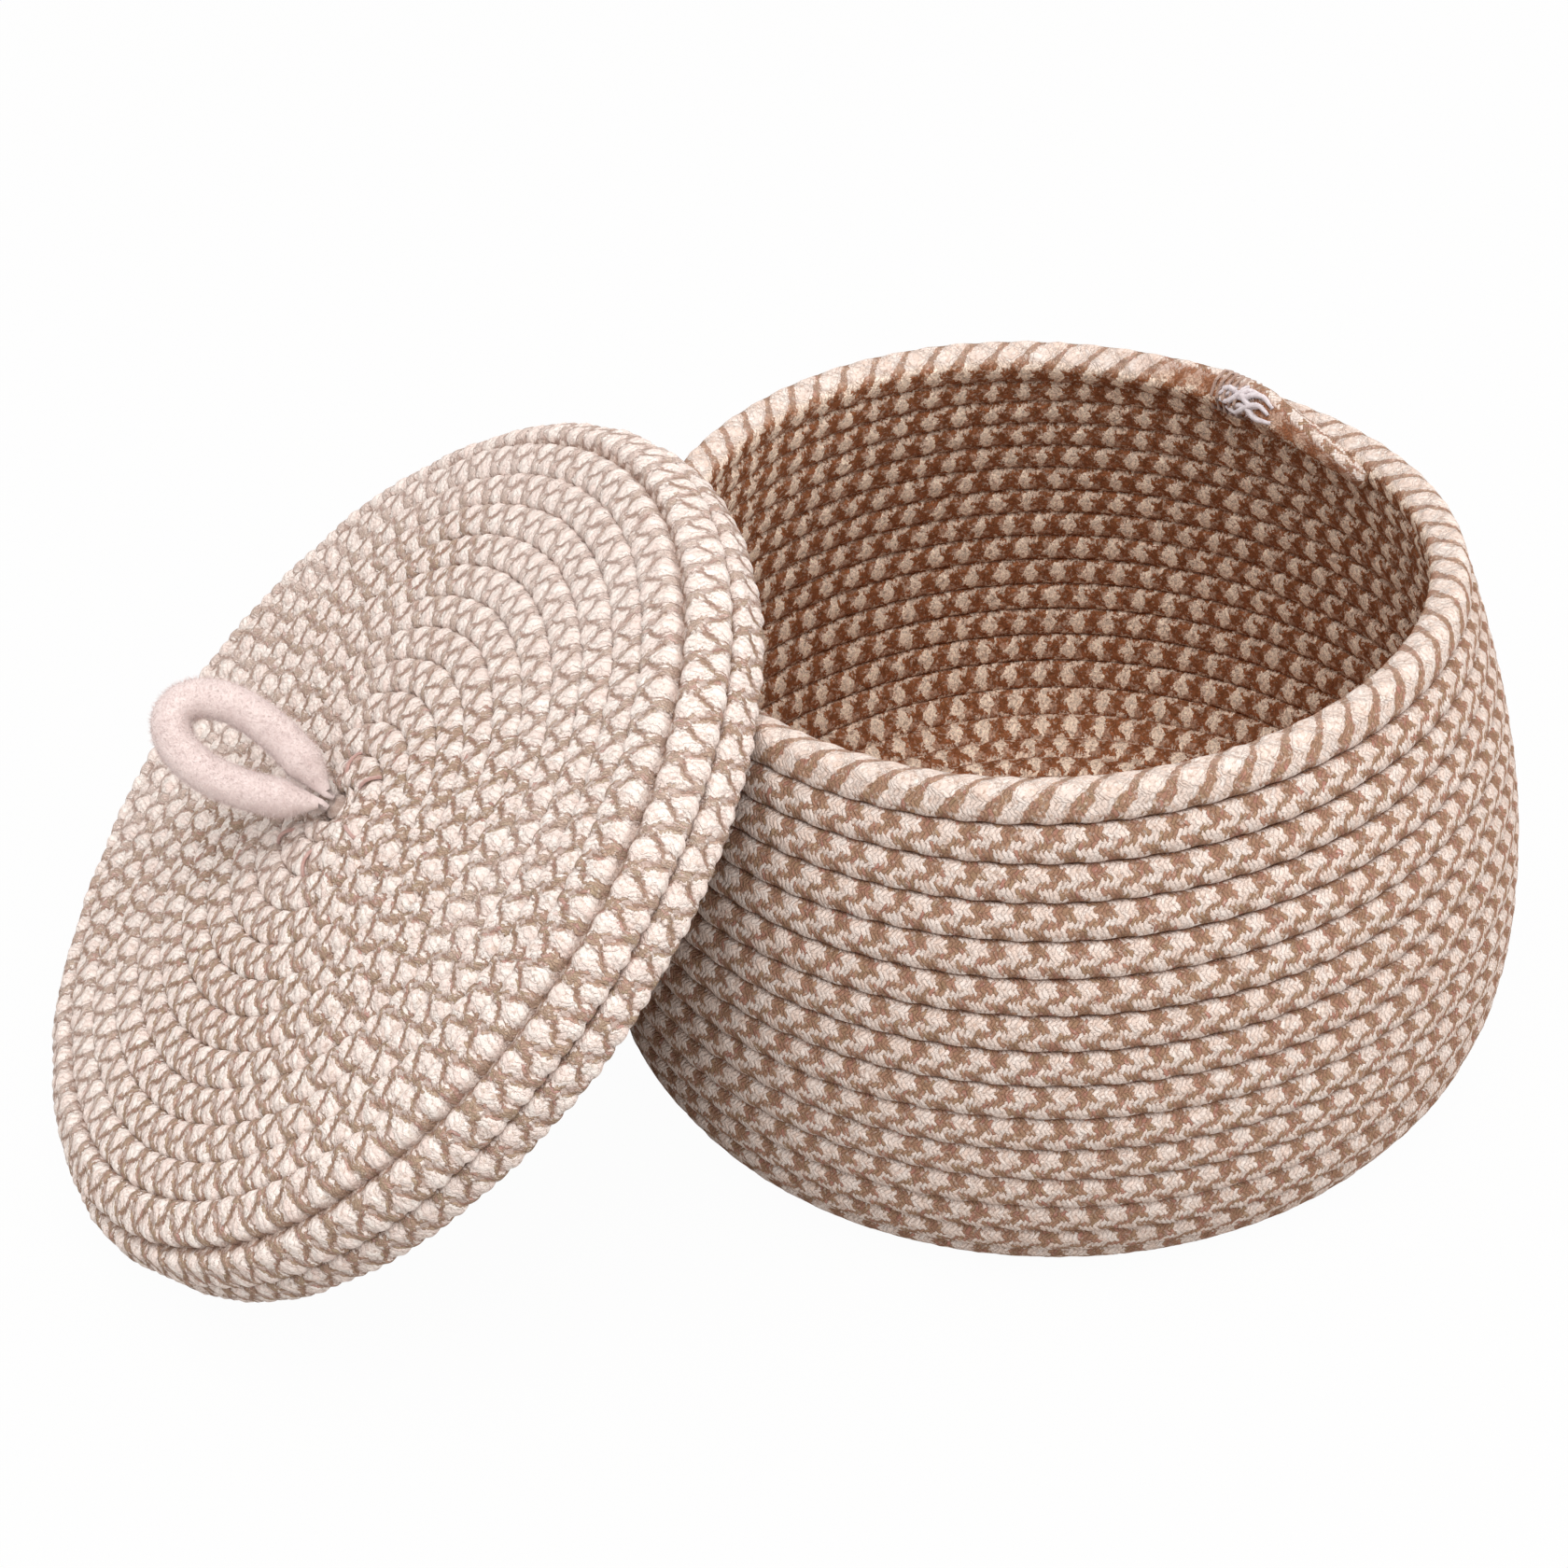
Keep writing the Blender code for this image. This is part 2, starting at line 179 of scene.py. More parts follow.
def braidField(tree, along, around, fuller, values=braidValues):
    # Sockets that say, for a place on the rope, which strand lies on top and where on it the place is.
    # fuller is how far the cream strands spread over the taupe ones, in strands
    def spread(count):
        bulge = maths(tree, "SINE", maths(tree, "MULTIPLY", maths(tree, "SUBTRACT", count, 2.0), math.pi / 4))
        return maths(tree, "SUBTRACT", count, maths(tree, "MULTIPLY", bulge, fuller))

    swing = maths(tree, "COSINE", maths(tree, "MULTIPLY", around, 2 * math.pi))
    around = maths(tree, "ADD", around, maths(tree, "MULTIPLY_ADD", swing, -values["bunched"], values["bunchedStart"]))
    turn = maths(tree, "MULTIPLY_ADD", around, values["strands"], values["turned"])
    run = maths(tree, "MULTIPLY", along, 8 / values["period"])
    rising = spread(maths(tree, "ADD", turn, run))
    falling = spread(maths(tree, "SUBTRACT", turn, run))
    risingCream = maths(tree, "COSINE", maths(tree, "MULTIPLY", maths(tree, "SUBTRACT", rising, 2), math.pi / 4))
    fallingCream = maths(tree, "COSINE", maths(tree, "MULTIPLY", maths(tree, "SUBTRACT", falling, 2), math.pi / 4))
    pillow = maths(tree, "MULTIPLY", maths(tree, "ADD", risingCream, fallingCream), 0.5)
    risingStrand = maths(tree, "FLOOR", rising)
    fallingStrand = maths(tree, "FLOOR", falling)
    crossing = maths(tree, "ADD", maths(tree, "ADD", risingStrand, fallingStrand), 1)
    fallingTop = maths(tree, "GREATER_THAN", maths(tree, "FLOORED_MODULO", crossing, 4), 1.5)
    strand = choose(tree, risingStrand, fallingStrand, fallingTop)
    own = choose(tree, rising, falling, fallingTop)
    other = choose(tree, falling, rising, fallingTop)
    across = maths(tree, "SUBTRACT", own, strand)
    afloat = maths(tree, "FLOORED_MODULO", maths(tree, "ADD", maths(tree, "ADD", other, strand), 1), 4)
    afloat = maths(tree, "MULTIPLY_ADD", fallingTop, -2, afloat)
    share = maths(tree, "DIVIDE", afloat, 2)
    width = domed(tree, across)
    length = maths(tree, "MULTIPLY_ADD", domed(tree, share), 1 - values["highEnds"], values["highEnds"])
    height = maths(tree, "MULTIPLY", width, length)
    cream = maths(tree, "LESS_THAN", maths(tree, "FLOORED_MODULO", strand, 8), 3.5)
    number = maths(tree, "FLOORED_MODULO", strand, values["strands"])
    number = maths(tree, "MULTIPLY_ADD", fallingTop, 40, number)
    under = choose(tree, fallingStrand, risingStrand, fallingTop)
    both = maths(tree, "LESS_THAN", maths(tree, "FLOORED_MODULO", under, 8), 3.5)
    return {"height": height, "cream": cream, "number": number, "across": across, "share": share, "run": run,
            "both": both, "pillow": pillow, "falling": fallingTop,
            "rising": risingCream}


def swelled(tree, pillow, even):
    # How far a cell of the braid stands up: even is 1 where cream and taupe cells swell alike
    both = maths(tree, "SUBTRACT", maths(tree, "POWER", maths(tree, "ABSOLUTE", pillow), 0.7), 0.5)
    return choose(tree, pillow, both, even)


def domed(tree, share):
    # A half circle over a share from 0 to 1
    side = maths(tree, "MULTIPLY_ADD", share, 2, -1)
    left = maths(tree, "SUBTRACT", 1.0, maths(tree, "MULTIPLY", side, side))
    return maths(tree, "SQRT", maths(tree, "MAXIMUM", 0.0, left))


# ---- Geometry Nodes: a braided rope swept along a path of ring centres
def addFloat(tree, name, value):
    socket = tree.interface.new_socket(name=name, in_out="INPUT", socket_type="NodeSocketFloat")
    socket.default_value = value


def addWhole(tree, name, value):
    socket = tree.interface.new_socket(name=name, in_out="INPUT", socket_type="NodeSocketInt")
    socket.default_value = value


def named(tree, name, kind="FLOAT"):
    node = tree.nodes.new("GeometryNodeInputNamedAttribute")
    node.data_type = kind
    node.inputs["Name"].default_value = name
    return node.outputs["Attribute"]


def readAt(tree, geometry, value, index, kind):
    node = tree.nodes.new("GeometryNodeSampleIndex")
    node.data_type = kind
    node.domain = "POINT"
    tree.links.new(geometry, node.inputs["Geometry"])
    tree.links.new(value, node.inputs["Value"])
    tree.links.new(index, node.inputs["Index"])
    return node.outputs["Value"]


def store(tree, geometry, name, value, kind, domain):
    node = tree.nodes.new("GeometryNodeStoreNamedAttribute")
    node.data_type = kind
    node.domain = domain
    node.inputs["Name"].default_value = name
    tree.links.new(geometry, node.inputs["Geometry"])
    tree.links.new(value, node.inputs["Value"])
    return node.outputs["Geometry"]


def onDomain(tree, value, domain):
    node = tree.nodes.new("GeometryNodeFieldOnDomain")
    node.domain = domain
    node.data_type = "FLOAT"
    tree.links.new(value, node.inputs[0])
    return node.outputs[0]


def ropeTree():
    tree = bpy.data.node_groups.new("braidedRope", "GeometryNodeTree")
    tree.interface.new_socket(name="Path", in_out="INPUT", socket_type="NodeSocketGeometry")
    addFloat(tree, "Radius", 0.0046)
    addFloat(tree, "Relief", 0.0004)
    addFloat(tree, "Floor", 0.0)
    addFloat(tree, "Squareness", 2.0)
    addFloat(tree, "Swell", 0.0)
    addFloat(tree, "Even Swell", 0.0)
    addWhole(tree, "Sides", 24)
    addWhole(tree, "Map Rows", 12)
    tree.interface.new_socket(name="Finish", in_out="INPUT", socket_type="NodeSocketMaterial")
    tree.interface.new_socket(name="Rope", in_out="OUTPUT", socket_type="NodeSocketGeometry")
    given = tree.nodes.new("NodeGroupInput").outputs
    path = given["Path"]

    size = tree.nodes.new("GeometryNodeAttributeDomainSize")
    tree.links.new(path, size.inputs["Geometry"])
    rings = size.outputs["Point Count"]
    columns = maths(tree, "ADD", given["Sides"], 1)
    grid = tree.nodes.new("GeometryNodeMeshGrid")
    tree.links.new(rings, grid.inputs["Vertices X"])
    tree.links.new(columns, grid.inputs["Vertices Y"])

    index = tree.nodes.new("GeometryNodeInputIndex").outputs[0]
    ring = maths(tree, "FLOOR", maths(tree, "DIVIDE", maths(tree, "ADD", index, 0.5), columns))
    column = maths(tree, "SUBTRACT", index, maths(tree, "MULTIPLY", ring, columns))
    turn = maths(tree, "DIVIDE", column, given["Sides"])
    around = maths(tree, "SUBTRACT", turn, 0.25)      # the map's seam lies in the groove below
    position = tree.nodes.new("GeometryNodeInputPosition").outputs[0]
    centre = readAt(tree, path, position, ring, "FLOAT_VECTOR")
    outward = readAt(tree, path, named(tree, "outward", "FLOAT_VECTOR"), ring, "FLOAT_VECTOR")
    upward = readAt(tree, path, named(tree, "upward", "FLOAT_VECTOR"), ring, "FLOAT_VECTOR")
    along = readAt(tree, path, named(tree, "along"), ring, "FLOAT")
    girth = readAt(tree, path, named(tree, "girth"), ring, "FLOAT")
    topmost = readAt(tree, path, named(tree, "topmost"), ring, "FLOAT")

    angle = maths(tree, "MULTIPLY", around, 2 * math.pi)
    spin = vectorMaths(tree, "ADD",
                       vectorMaths(tree, "SCALE", outward, scale=maths(tree, "COSINE", angle)),
                       vectorMaths(tree, "SCALE", upward, scale=maths(tree, "SINE", angle)))
    round = vectorMaths(tree, "ADD", centre, vectorMaths(tree, "SCALE", spin, scale=given["Radius"]))
    lumps = maths(tree, "SUBTRACT", noise(tree, round, 330, 1.0), 0.5)
    sunk = maths(tree, "MULTIPLY", lumps, given["Relief"])
    pillow = braidField(tree, along, around, 0.0)["pillow"]
    swell = maths(tree, "MULTIPLY", swelled(tree, pillow, given["Even Swell"]), given["Swell"])
    sunk = maths(tree, "ADD", sunk, swell)
    # Rows sewn tight press each other flat, so the section is between a circle and a square
    corner = maths(tree, "ADD", powerOf(tree, maths(tree, "COSINE", angle), given["Squareness"]),
                   powerOf(tree, maths(tree, "SINE", angle), given["Squareness"]))
    fill = maths(tree, "POWER", corner, maths(tree, "DIVIDE", -1.0, given["Squareness"]))
    reach = maths(tree, "MULTIPLY", maths(tree, "MULTIPLY_ADD", given["Radius"], fill, sunk), girth)
    place = vectorMaths(tree, "ADD", centre, vectorMaths(tree, "SCALE", spin, scale=reach))
    parts = tree.nodes.new("ShaderNodeSeparateXYZ")
    tree.links.new(place, parts.inputs[0])
    resting = maths(tree, "MAXIMUM", parts.outputs[2], given["Floor"])
    place = vectorOf(tree, parts.outputs[0], parts.outputs[1], resting)
    moved = tree.nodes.new("GeometryNodeSetPosition")
    tree.links.new(grid.outputs["Mesh"], moved.inputs["Geometry"])
    tree.links.new(place, moved.inputs["Position"])

    # Rope lay: metres along and turns around, and the same laid out in rows for the baked picture
    along, around, ring, turn = (onDomain(tree, value, "POINT") for value in (along, around, ring, turn))
    mesh = store(tree, moved.outputs["Geometry"], "ropeLay", vectorOf(tree, along, around, 0.0), "FLOAT2", "CORNER")
    perRow = maths(tree, "CEIL", maths(tree, "DIVIDE", rings, given["Map Rows"]))
    row = maths(tree, "FLOOR", maths(tree, "DIVIDE", onDomain(tree, ring, "FACE"), perRow))
    mapX = maths(tree, "DIVIDE", maths(tree, "SUBTRACT", ring, maths(tree, "MULTIPLY", row, perRow)), perRow)
    mapX = maths(tree, "MULTIPLY_ADD", mapX, 0.996, 0.002)
    mapY = maths(tree, "DIVIDE", maths(tree, "ADD", row, maths(tree, "MULTIPLY_ADD", turn, 0.96, 0.02)), given["Map Rows"])
    mesh = store(tree, mesh, "OFBake", vectorOf(tree, mapX, mapY, 0.0), "FLOAT2", "CORNER")
    mesh = store(tree, mesh, "topmost", topmost, "FLOAT", "POINT")

    joined = tree.nodes.new("GeometryNodeMergeByDistance")
    tree.links.new(mesh, joined.inputs["Geometry"])
    joined.inputs["Distance"].default_value = 1e-6
    smooth = tree.nodes.new("GeometryNodeSetShadeSmooth")
    tree.links.new(joined.outputs["Geometry"], smooth.inputs["Geometry"])
    flipped = tree.nodes.new("GeometryNodeFlipFaces")
    tree.links.new(smooth.outputs["Geometry"], flipped.inputs["Mesh"])
    real = tree.nodes.new("GeometryNodeRealizeInstances")
    tree.links.new(flipped.outputs["Mesh"], real.inputs["Geometry"])
    dressed = tree.nodes.new("GeometryNodeSetMaterial")
    tree.links.new(real.outputs["Geometry"], dressed.inputs["Geometry"])
    tree.links.new(given["Finish"], dressed.inputs["Material"])
    out = tree.nodes.new("NodeGroupOutput")
    tree.links.new(dressed.outputs["Geometry"], out.inputs["Rope"])
    return tree


def growFrom(tree, carrier, name, inputs):
    # Runs a tree on a carrier mesh and keeps the result as a plain mesh object
    modifier = carrier.modifiers.new("grow", "NODES")
    modifier.node_group = tree
    sockets = {item.name: item.identifier for item in tree.interface.items_tree if item.in_out == "INPUT"}
    for label, value in inputs.items():
        modifier[sockets[label]] = value
    graph = bpy.context.evaluated_depsgraph_get()
    mesh = bpy.data.meshes.new_from_object(carrier.evaluated_get(graph), depsgraph=graph)
    bpy.data.objects.remove(carrier, do_unlink=True)
    mesh.name = name
    piece = bpy.data.objects.new(name, mesh)
    scene.collection.objects.link(piece)
    return piece


def pathMesh(name, path):
    # A line of ring centres, each with its own outward and upward direction
    mesh = bpy.data.meshes.new(name + "Path")
    count = len(path["centre"])
    mesh.from_pydata([tuple(spot) for spot in path["centre"]], [(i, i + 1) for i in range(count - 1)], [])
    for label in ("outward", "upward"):
        kept = mesh.attributes.new(label, "FLOAT_VECTOR", "POINT")
        kept.data.foreach_set("vector", np.asarray(path[label], np.float32).ravel())
    for label in ("along", "girth", "topmost"):
        kept = mesh.attributes.new(label, "FLOAT", "POINT")
        kept.data.foreach_set("value", np.asarray(path[label], np.float32))
    carrier = bpy.data.objects.new(name + "Path", mesh)
    scene.collection.objects.link(carrier)
    return carrier


# ---- Where the rope runs
basketValues = {
    "ropeRadius": 0.0046,
    "thickness": 0.0047,      # the rope's radius with its soft outer fibres
    "squareness": 3.2,        # 2 is a round section, more is squarer
    "perPeriod": 12,          # rings
    "swell": 0.00015,
    "evenSwell": 0.0,
    "pitch": 0.0092,
    "rimRadius": 0.1000,
    "rimHeight": 0.1421,
    "bellyRadius": 0.1193,
    "bellyHeight": 0.0450,
    "footRadius": 0.0958,
    "footPower": 2.52,
    "footDepth": 0.0033,      # height of the rope's middle where it lies on the floor
    "rimDrop": 0.0020,
    "rimOval": 0.0011,
    "rimWave": 0.0023,
    "waveAzimuth": -30.0,
    "rimDent": 0.0022,
    "dentAzimuth": -142.0,
    "dentWidth": 20.0,
    "swayPower": 1.5,
    "topAzimuth": 142.0,      # where the last whole turn ends
    "dive": 90.0,             # degrees of turn over which the end sinks behind the row below
    "diveRoll": 28.0,
    "tail": 24.0,
    "tailRoll": 50.0,
    "tailEnd": 0.4,
    "whipRoom": 0.0012,       # the whipping holds the end off the row below
    "whipFrom": 75.0,
    "whipTo": 95.0,
    "innerRadius": 0.0040,    # the spiral's start at the middle of the base
    "heart": 320,
    "neckRadius": 0.0,
}
lidValues = {
    "ropeRadius": 0.0046,
    "thickness": 0.0049,
    "squareness": 3.2,
    "perPeriod": 16,
    "swell": 0.00075,
    "evenSwell": 0.9,
    "pitch": 0.0092,
    "radius": 0.1181,
    "skirt": 0.0237,
    "rise": 0.0037,
    "shoulder": 0.0145,
    "holeRadius": 0.0048,
    "endAzimuth": 100.0,
    "centre": (-0.15698, -0.04250, 0.07568),
    "leanAzimuth": 19.9,
    "tilt": 39.66,
    "skirtTurns": 3,
    "uneven": 0.0007,
    "heart": 330,             # degrees of thin rope before the first turn
    "neckRadius": 0.0044,     # what that rope goes round
    "bendFuller": 0.12,       # how much thicker the rows are where the lid bends down, as a share
    "bendBack": 0.0166,       # where the bend's middle is, back along the outline from the lower edge
    "bendWidth": 0.009,
}
ringValues = {"sides": 24, "relief": 0.0005}


def outlineRun(points):
    points = np.asarray(points)
    steps = np.linalg.norm(np.diff(points, axis=0), axis=1)
    return points, np.concatenate([[0.0], np.cumsum(steps)])


def basketOutline(v):
    rope, low = v["ropeRadius"], v["footDepth"]
    side = v["footRadius"] - rope
    bulge = v["bellyRadius"] - v["footRadius"]
    angle = math.pi / 2 * (1 - np.linspace(0, 1, 401))
    out = np.cos(angle).clip(0) ** (2 / v["footPower"])
    rise = 1 - np.sin(angle).clip(0) ** (2 / v["footPower"])
    foot = np.stack([side + bulge * out, low + (v["bellyHeight"] - low) * rise], 1)
    share = np.linspace(0, 1, 401)[1:]
    inward = (v["bellyRadius"] - v["rimRadius"]) * (1 - np.cos(share * math.pi / 2))
    top = v["rimHeight"] - rope
    wall = np.stack([v["bellyRadius"] - rope - inward, v["bellyHeight"] + (top - v["bellyHeight"]) * share], 1)
    return outlineRun(np.concatenate([[[0.0, low]], foot, wall]))


def lidOutline(v):
    rope = v["ropeRadius"]
    crown = v["skirt"] + v["rise"] - rope
    corner = v["shoulder"] - rope
    flatEnd = v["radius"] - v["shoulder"]
    share = np.linspace(0, 1, 401)
    dome = np.stack([flatEnd * share, crown - v["rise"] * share**2], 1)
    slope = math.atan2(2 * v["rise"], flatEnd)
    angle = slope + (math.pi / 2 - slope) * share[1:]
    drop = corner * (math.cos(slope) - np.cos(angle))
    out = corner * (np.sin(angle) - math.sin(slope))
    bend = np.stack([flatEnd + out, crown - v["rise"] - drop], 1)
    edge = [[bend[-1, 0], rope - v["pitch"] / 2]]
    return outlineRun(np.concatenate([dome, bend, edge]))


def coilPath(outline, v, endAzimuth, startRun, outside):
    # The rope's middle line: it winds clockwise and outwards, one pitch of the outline to a turn.
    # outside is 1 where the outer face is right of the outline's way out, and -1 where it is left
    points, run = outline
    turns = (run[-1] - startRun) / v["pitch"]
    steps = int(turns * 360)
    here = startRun + (run[-1] - startRun) * np.linspace(0, 1, steps + 1)
    radius = np.interp(here, run, points[:, 0])
    height = np.interp(here, run, points[:, 1])
    azimuth = math.radians(endAzimuth) + 2 * math.pi * (run[-1] - here) / v["pitch"]
    slope = np.gradient(np.stack([radius, height], 1), here, axis=0)
    soft = np.ones(181) / 181
    slope = np.stack([np.convolve(np.pad(slope[:, k], 90, "edge"), soft, "valid") for k in (0, 1)], 1)
    slope /= np.linalg.norm(slope, axis=1, keepdims=True)
    around = np.stack([np.cos(azimuth), np.sin(azimuth)], 1)
    centre = np.column_stack([around * radius[:, None], height])
    outward = np.column_stack([around * (slope[:, 1] * outside)[:, None], -slope[:, 0] * outside])
    return centre, outward


def sway(centre, v):
    # The soft rim is a little oval, lower at the back, waves twice a turn and gives under the lid
    weight = (centre[:, 2].clip(0) / v["rimHeight"]) ** v["swayPower"]
    angle = np.arctan2(centre[:, 1], centre[:, 0])
    spread = 1 - weight * v["rimOval"] * np.cos(2 * angle) / v["rimRadius"]
    wave = v["rimWave"] * np.cos(2 * (angle - math.radians(v["waveAzimuth"])))
    away = (angle - math.radians(v["dentAzimuth"]) + math.pi) % (2 * math.pi) - math.pi
    dent = v["rimDent"] * np.exp(-(away / math.radians(v["dentWidth"])) ** 2)
    lift = weight * (wave - dent - v["rimDrop"] * np.sin(angle))
    return np.column_stack([centre[:, :2] * spread[:, None], centre[:, 2] + lift])


def diveEnd(centre, v):
    # The end of the rope sinks slowly behind the row below, then rolls in and tapers off
    last = centre[-361:]
    turned = np.arange(1, int(v["dive"] + v["tail"]) + 1)
    below = last[turned]
    rise = centre[-1] - last[0]
    lean = math.atan2(math.hypot(rise[0], rise[1]), rise[2])
    share = np.minimum(turned / v["dive"], 1.0)
    taper = np.maximum(turned - v["dive"], 0) / v["tail"]
    roll = lean + math.radians(v["diveRoll"]) * share**2 + math.radians(v["tailRoll"]) * taper
    girth = 1 - taper * (1 - v["tailEnd"])
    whipped = 1 / (1 + np.exp(-(turned - v["whipFrom"]) / 2)) / (1 + np.exp((turned - v["whipTo"]) / 2))
    away = (v["ropeRadius"] * (1 + girth) + v["whipRoom"] * whipped)[:, None]
    flatOut = np.column_stack([below[:, :2], np.zeros(len(turned))])
    flatOut /= np.linalg.norm(flatOut, axis=1, keepdims=True)
    up = np.column_stack([np.zeros((len(turned), 2)), np.ones(len(turned))])
    upward = up * np.cos(roll)[:, None] - flatOut * np.sin(roll)[:, None]
    turnedOut = flatOut * np.cos(roll)[:, None] + up * np.sin(roll)[:, None]
    return below + away * upward, turnedOut, girth


def addHeart(centre, outward, v, lift):
    # The start of a rope is thin and fills the gap inside its first turn. lift is 1 for a level top
    rope = v["ropeRadius"]
    back = np.arange(v["heart"], 0, -1)
    first = centre[0]
    azimuth = math.atan2(first[1], first[0]) + np.radians(back)
    nextRow = np.interp(360 - back, np.arange(400), np.hypot(centre[:400, 0], centre[:400, 1])) - rope
    girth = np.minimum((nextRow - v["neckRadius"]) / (2 * rope), 1.0)
    radius = v["neckRadius"] + girth * rope
    height = first[2] + (1 - girth) * rope * lift
    spots = np.column_stack([np.cos(azimuth) * radius, np.sin(azimuth) * radius, height])
    up = np.tile(outward[0], (len(back), 1))
    return np.concatenate([spots, centre]), np.concatenate([up, outward]), np.concatenate([girth, np.ones(len(centre))])


def uneven(centre, outward, much, seed):
    # Nothing is laid dead straight by hand: slow bends out and in along the rope
    steps = np.linalg.norm(np.diff(centre, axis=0), axis=1)
    run = np.concatenate([[0.0], np.cumsum(steps)])
    chance = np.random.default_rng(seed)
    bend = np.zeros(len(run))
    for wave in (0.021, 0.034, 0.055, 0.089, 0.144):
        bend += np.sin(2 * math.pi * (run / wave + chance.random())) / 5
    return centre + outward * (bend * much)[:, None]


def ringPath(centre, outward, girth, spacing):
    # Evenly spaced rings on a dense line, with square directions at each
    steps = np.linalg.norm(np.diff(centre, axis=0), axis=1)
    run = np.concatenate([[0.0], np.cumsum(steps)])
    count = int(round(run[-1] / spacing))
    here = np.linspace(0, run[-1], count + 1)

    def at(values):
        return np.stack([np.interp(here, run, values[:, k]) for k in range(values.shape[1])], 1)

    spots = at(centre)
    ahead = np.gradient(spots, axis=0)
    ahead /= np.linalg.norm(ahead, axis=1, keepdims=True)
    out = at(outward)
    out -= ahead * (out * ahead).sum(1, keepdims=True)
    out /= np.linalg.norm(out, axis=1, keepdims=True)
    return {"centre": spots, "outward": out, "upward": np.cross(ahead, out), "along": here,
            "girth": np.interp(here, run, girth), "topmost": np.zeros(count + 1)}


def cutPath(path, start, end):
    # A stretch of a path, with a ring of no width at each end that closes the rope
    part = {label: values[start:end + 1] for label, values in path.items()}
    closed = {label: np.concatenate([values[:1], values, values[-1:]]) for label, values in part.items()}
    closed["girth"] = closed["girth"].copy()
    closed["girth"][[0, -1]] = 0.0
    return closed


def turnPath(path, matrix):
    # The lid's path, moved from the lid's own frame to where it leans
    turn = np.array(matrix.to_3x3())
    moved = dict(path)
    moved["centre"] = path["centre"] @ turn.T + np.array(matrix.translation)
    moved["outward"] = path["outward"] @ turn.T
    moved["upward"] = path["upward"] @ turn.T
    return moved


# ---- Materials
def shaderTree(name):
    made = bpy.data.materials.new(name)
    made.use_nodes = True
    shader = made.node_tree.nodes["Principled BSDF"]
    return made, made.node_tree, shader


def mixColour(tree, first, second, share):
    node = tree.nodes.new("ShaderNodeMix")
    node.data_type = "RGBA"
    node.inputs["Factor"].default_value = 0.5
    for socket, value in ((node.inputs["Factor"], share), (node.inputs[6], first), (node.inputs[7], second)):
        if isinstance(value, (int, float, tuple)):
            socket.default_value = value
        else:
            tree.links.new(value, socket)
    return node.outputs[2]


def noiseColour(tree, vector, scale):
    # Three noises at once
    node = tree.nodes.new("ShaderNodeTexNoise")
    node.inputs["Scale"].default_value = scale
    node.inputs["Detail"].default_value = 1.0
    tree.links.new(vector, node.inputs["Vector"])
    parts = tree.nodes.new("ShaderNodeSeparateColor")
    tree.links.new(node.outputs["Color"], parts.inputs[0])
    return parts.outputs


def spreadOut(tree, value, low, high):
    node = tree.nodes.new("ShaderNodeMapRange")
    node.inputs["From Min"].default_value = low
    node.inputs["From Max"].default_value = high
    tree.links.new(value, node.inputs["Value"])
    return node.outputs["Result"]


basketFinish = {
    "cream": (221, 207, 198),
    "creamWarm": (214, 192, 179),
    # painted shade colour for the low edges of the cream strands
    "creamGrooveShade": (186, 156, 140),
    "taupe": (162, 124, 104),
    "olive": (156, 128, 102),
    "rose": (170, 122, 108),
    # painted shade colour for the low edges of the taupe strands, and how much of it they get
    "grooveShade": (112, 74, 57),
    "grooveShadeShare": 0.5,
    "insideCream": (253, 229, 207),
    "insideHorn": 0.72,       # how much cream shows inside beside each light blob, on the strands that climb
    "fallingHorn": 0.24,      # and on those that fall
    "insideWander": 1.1,      # how much more the strands' edges wander inside, as a share
    "insideTaupe": (160, 99, 68),
    # painted shade colour for the strands' low edges on the face inside
    "insideGrooveShade": (88, 50, 32),
    "insideOlive": (154, 102, 68),
    "topFuller": 1.5,         # how far the cream spreads along the crest of the rim, in strands
    "crestMiddle": 0.2,
    "topHighlight": 0.4,           # how far the taupe is painted paler on top of the rim, a painted highlight
    "bandMiddle": 0.16,       # where the rim's slanted bands lie round the rope, in turns
    "bandReach": 0.06,
    "bandLoose": 2.4,
    "stray": 0.5,             # how much stray fibres of the other colour cover
    # the painted highlight colour of the taupe on top of the rim
    "highlitTaupe": (190, 162, 147),
    "fuller": 0.12,
    "insideFuller": 0.2,
    "patchy": 0.0,            # how far the share of cream changes from place to place, in strands
    "chance": 0.7,            # and from cell to cell
    "wobble": 0.0014,         # how far the strands' edges wander along the rope, and round it in turns
    "wobbleRound": 0.06,
    "fray": 0.0009,
    "frayRound": 0.036,
    "fibre": 0.24,
    "speckle": 0.4,
    "insideSpeckle": 0.5,
    "strandHeight": 0.00034,
    "pillowHeight": 0.0002,   # how far the cream crossings stand up and the taupe ones sink
    "lumpHeight": 0.0006,
    "fuzzHeight": 0.00025,
    "evenPuff": 0.0,          # 1 where both stand up and the edges between them sink
    # painted shade along the sunken edges between the braid's cells
    "outlineShade": 0.0,
    # painted shade in the creases between the rows: its colour, how much, and where on the rope's side
    "creaseShadeColour": (150, 100, 74),
    "creaseShadeShare": 0.7,
    "creaseShadeFrom": 0.82,         # height on the rope's side where the painted brown shade starts, as a share of its radius
    "creaseShadeTo": 0.93,
    "dotShade": 0.3,           # how dark the painted shade in the sunken taupe crossings is
    "fade": 0.0,              # how far the taupe fades towards cream on the pale side
}
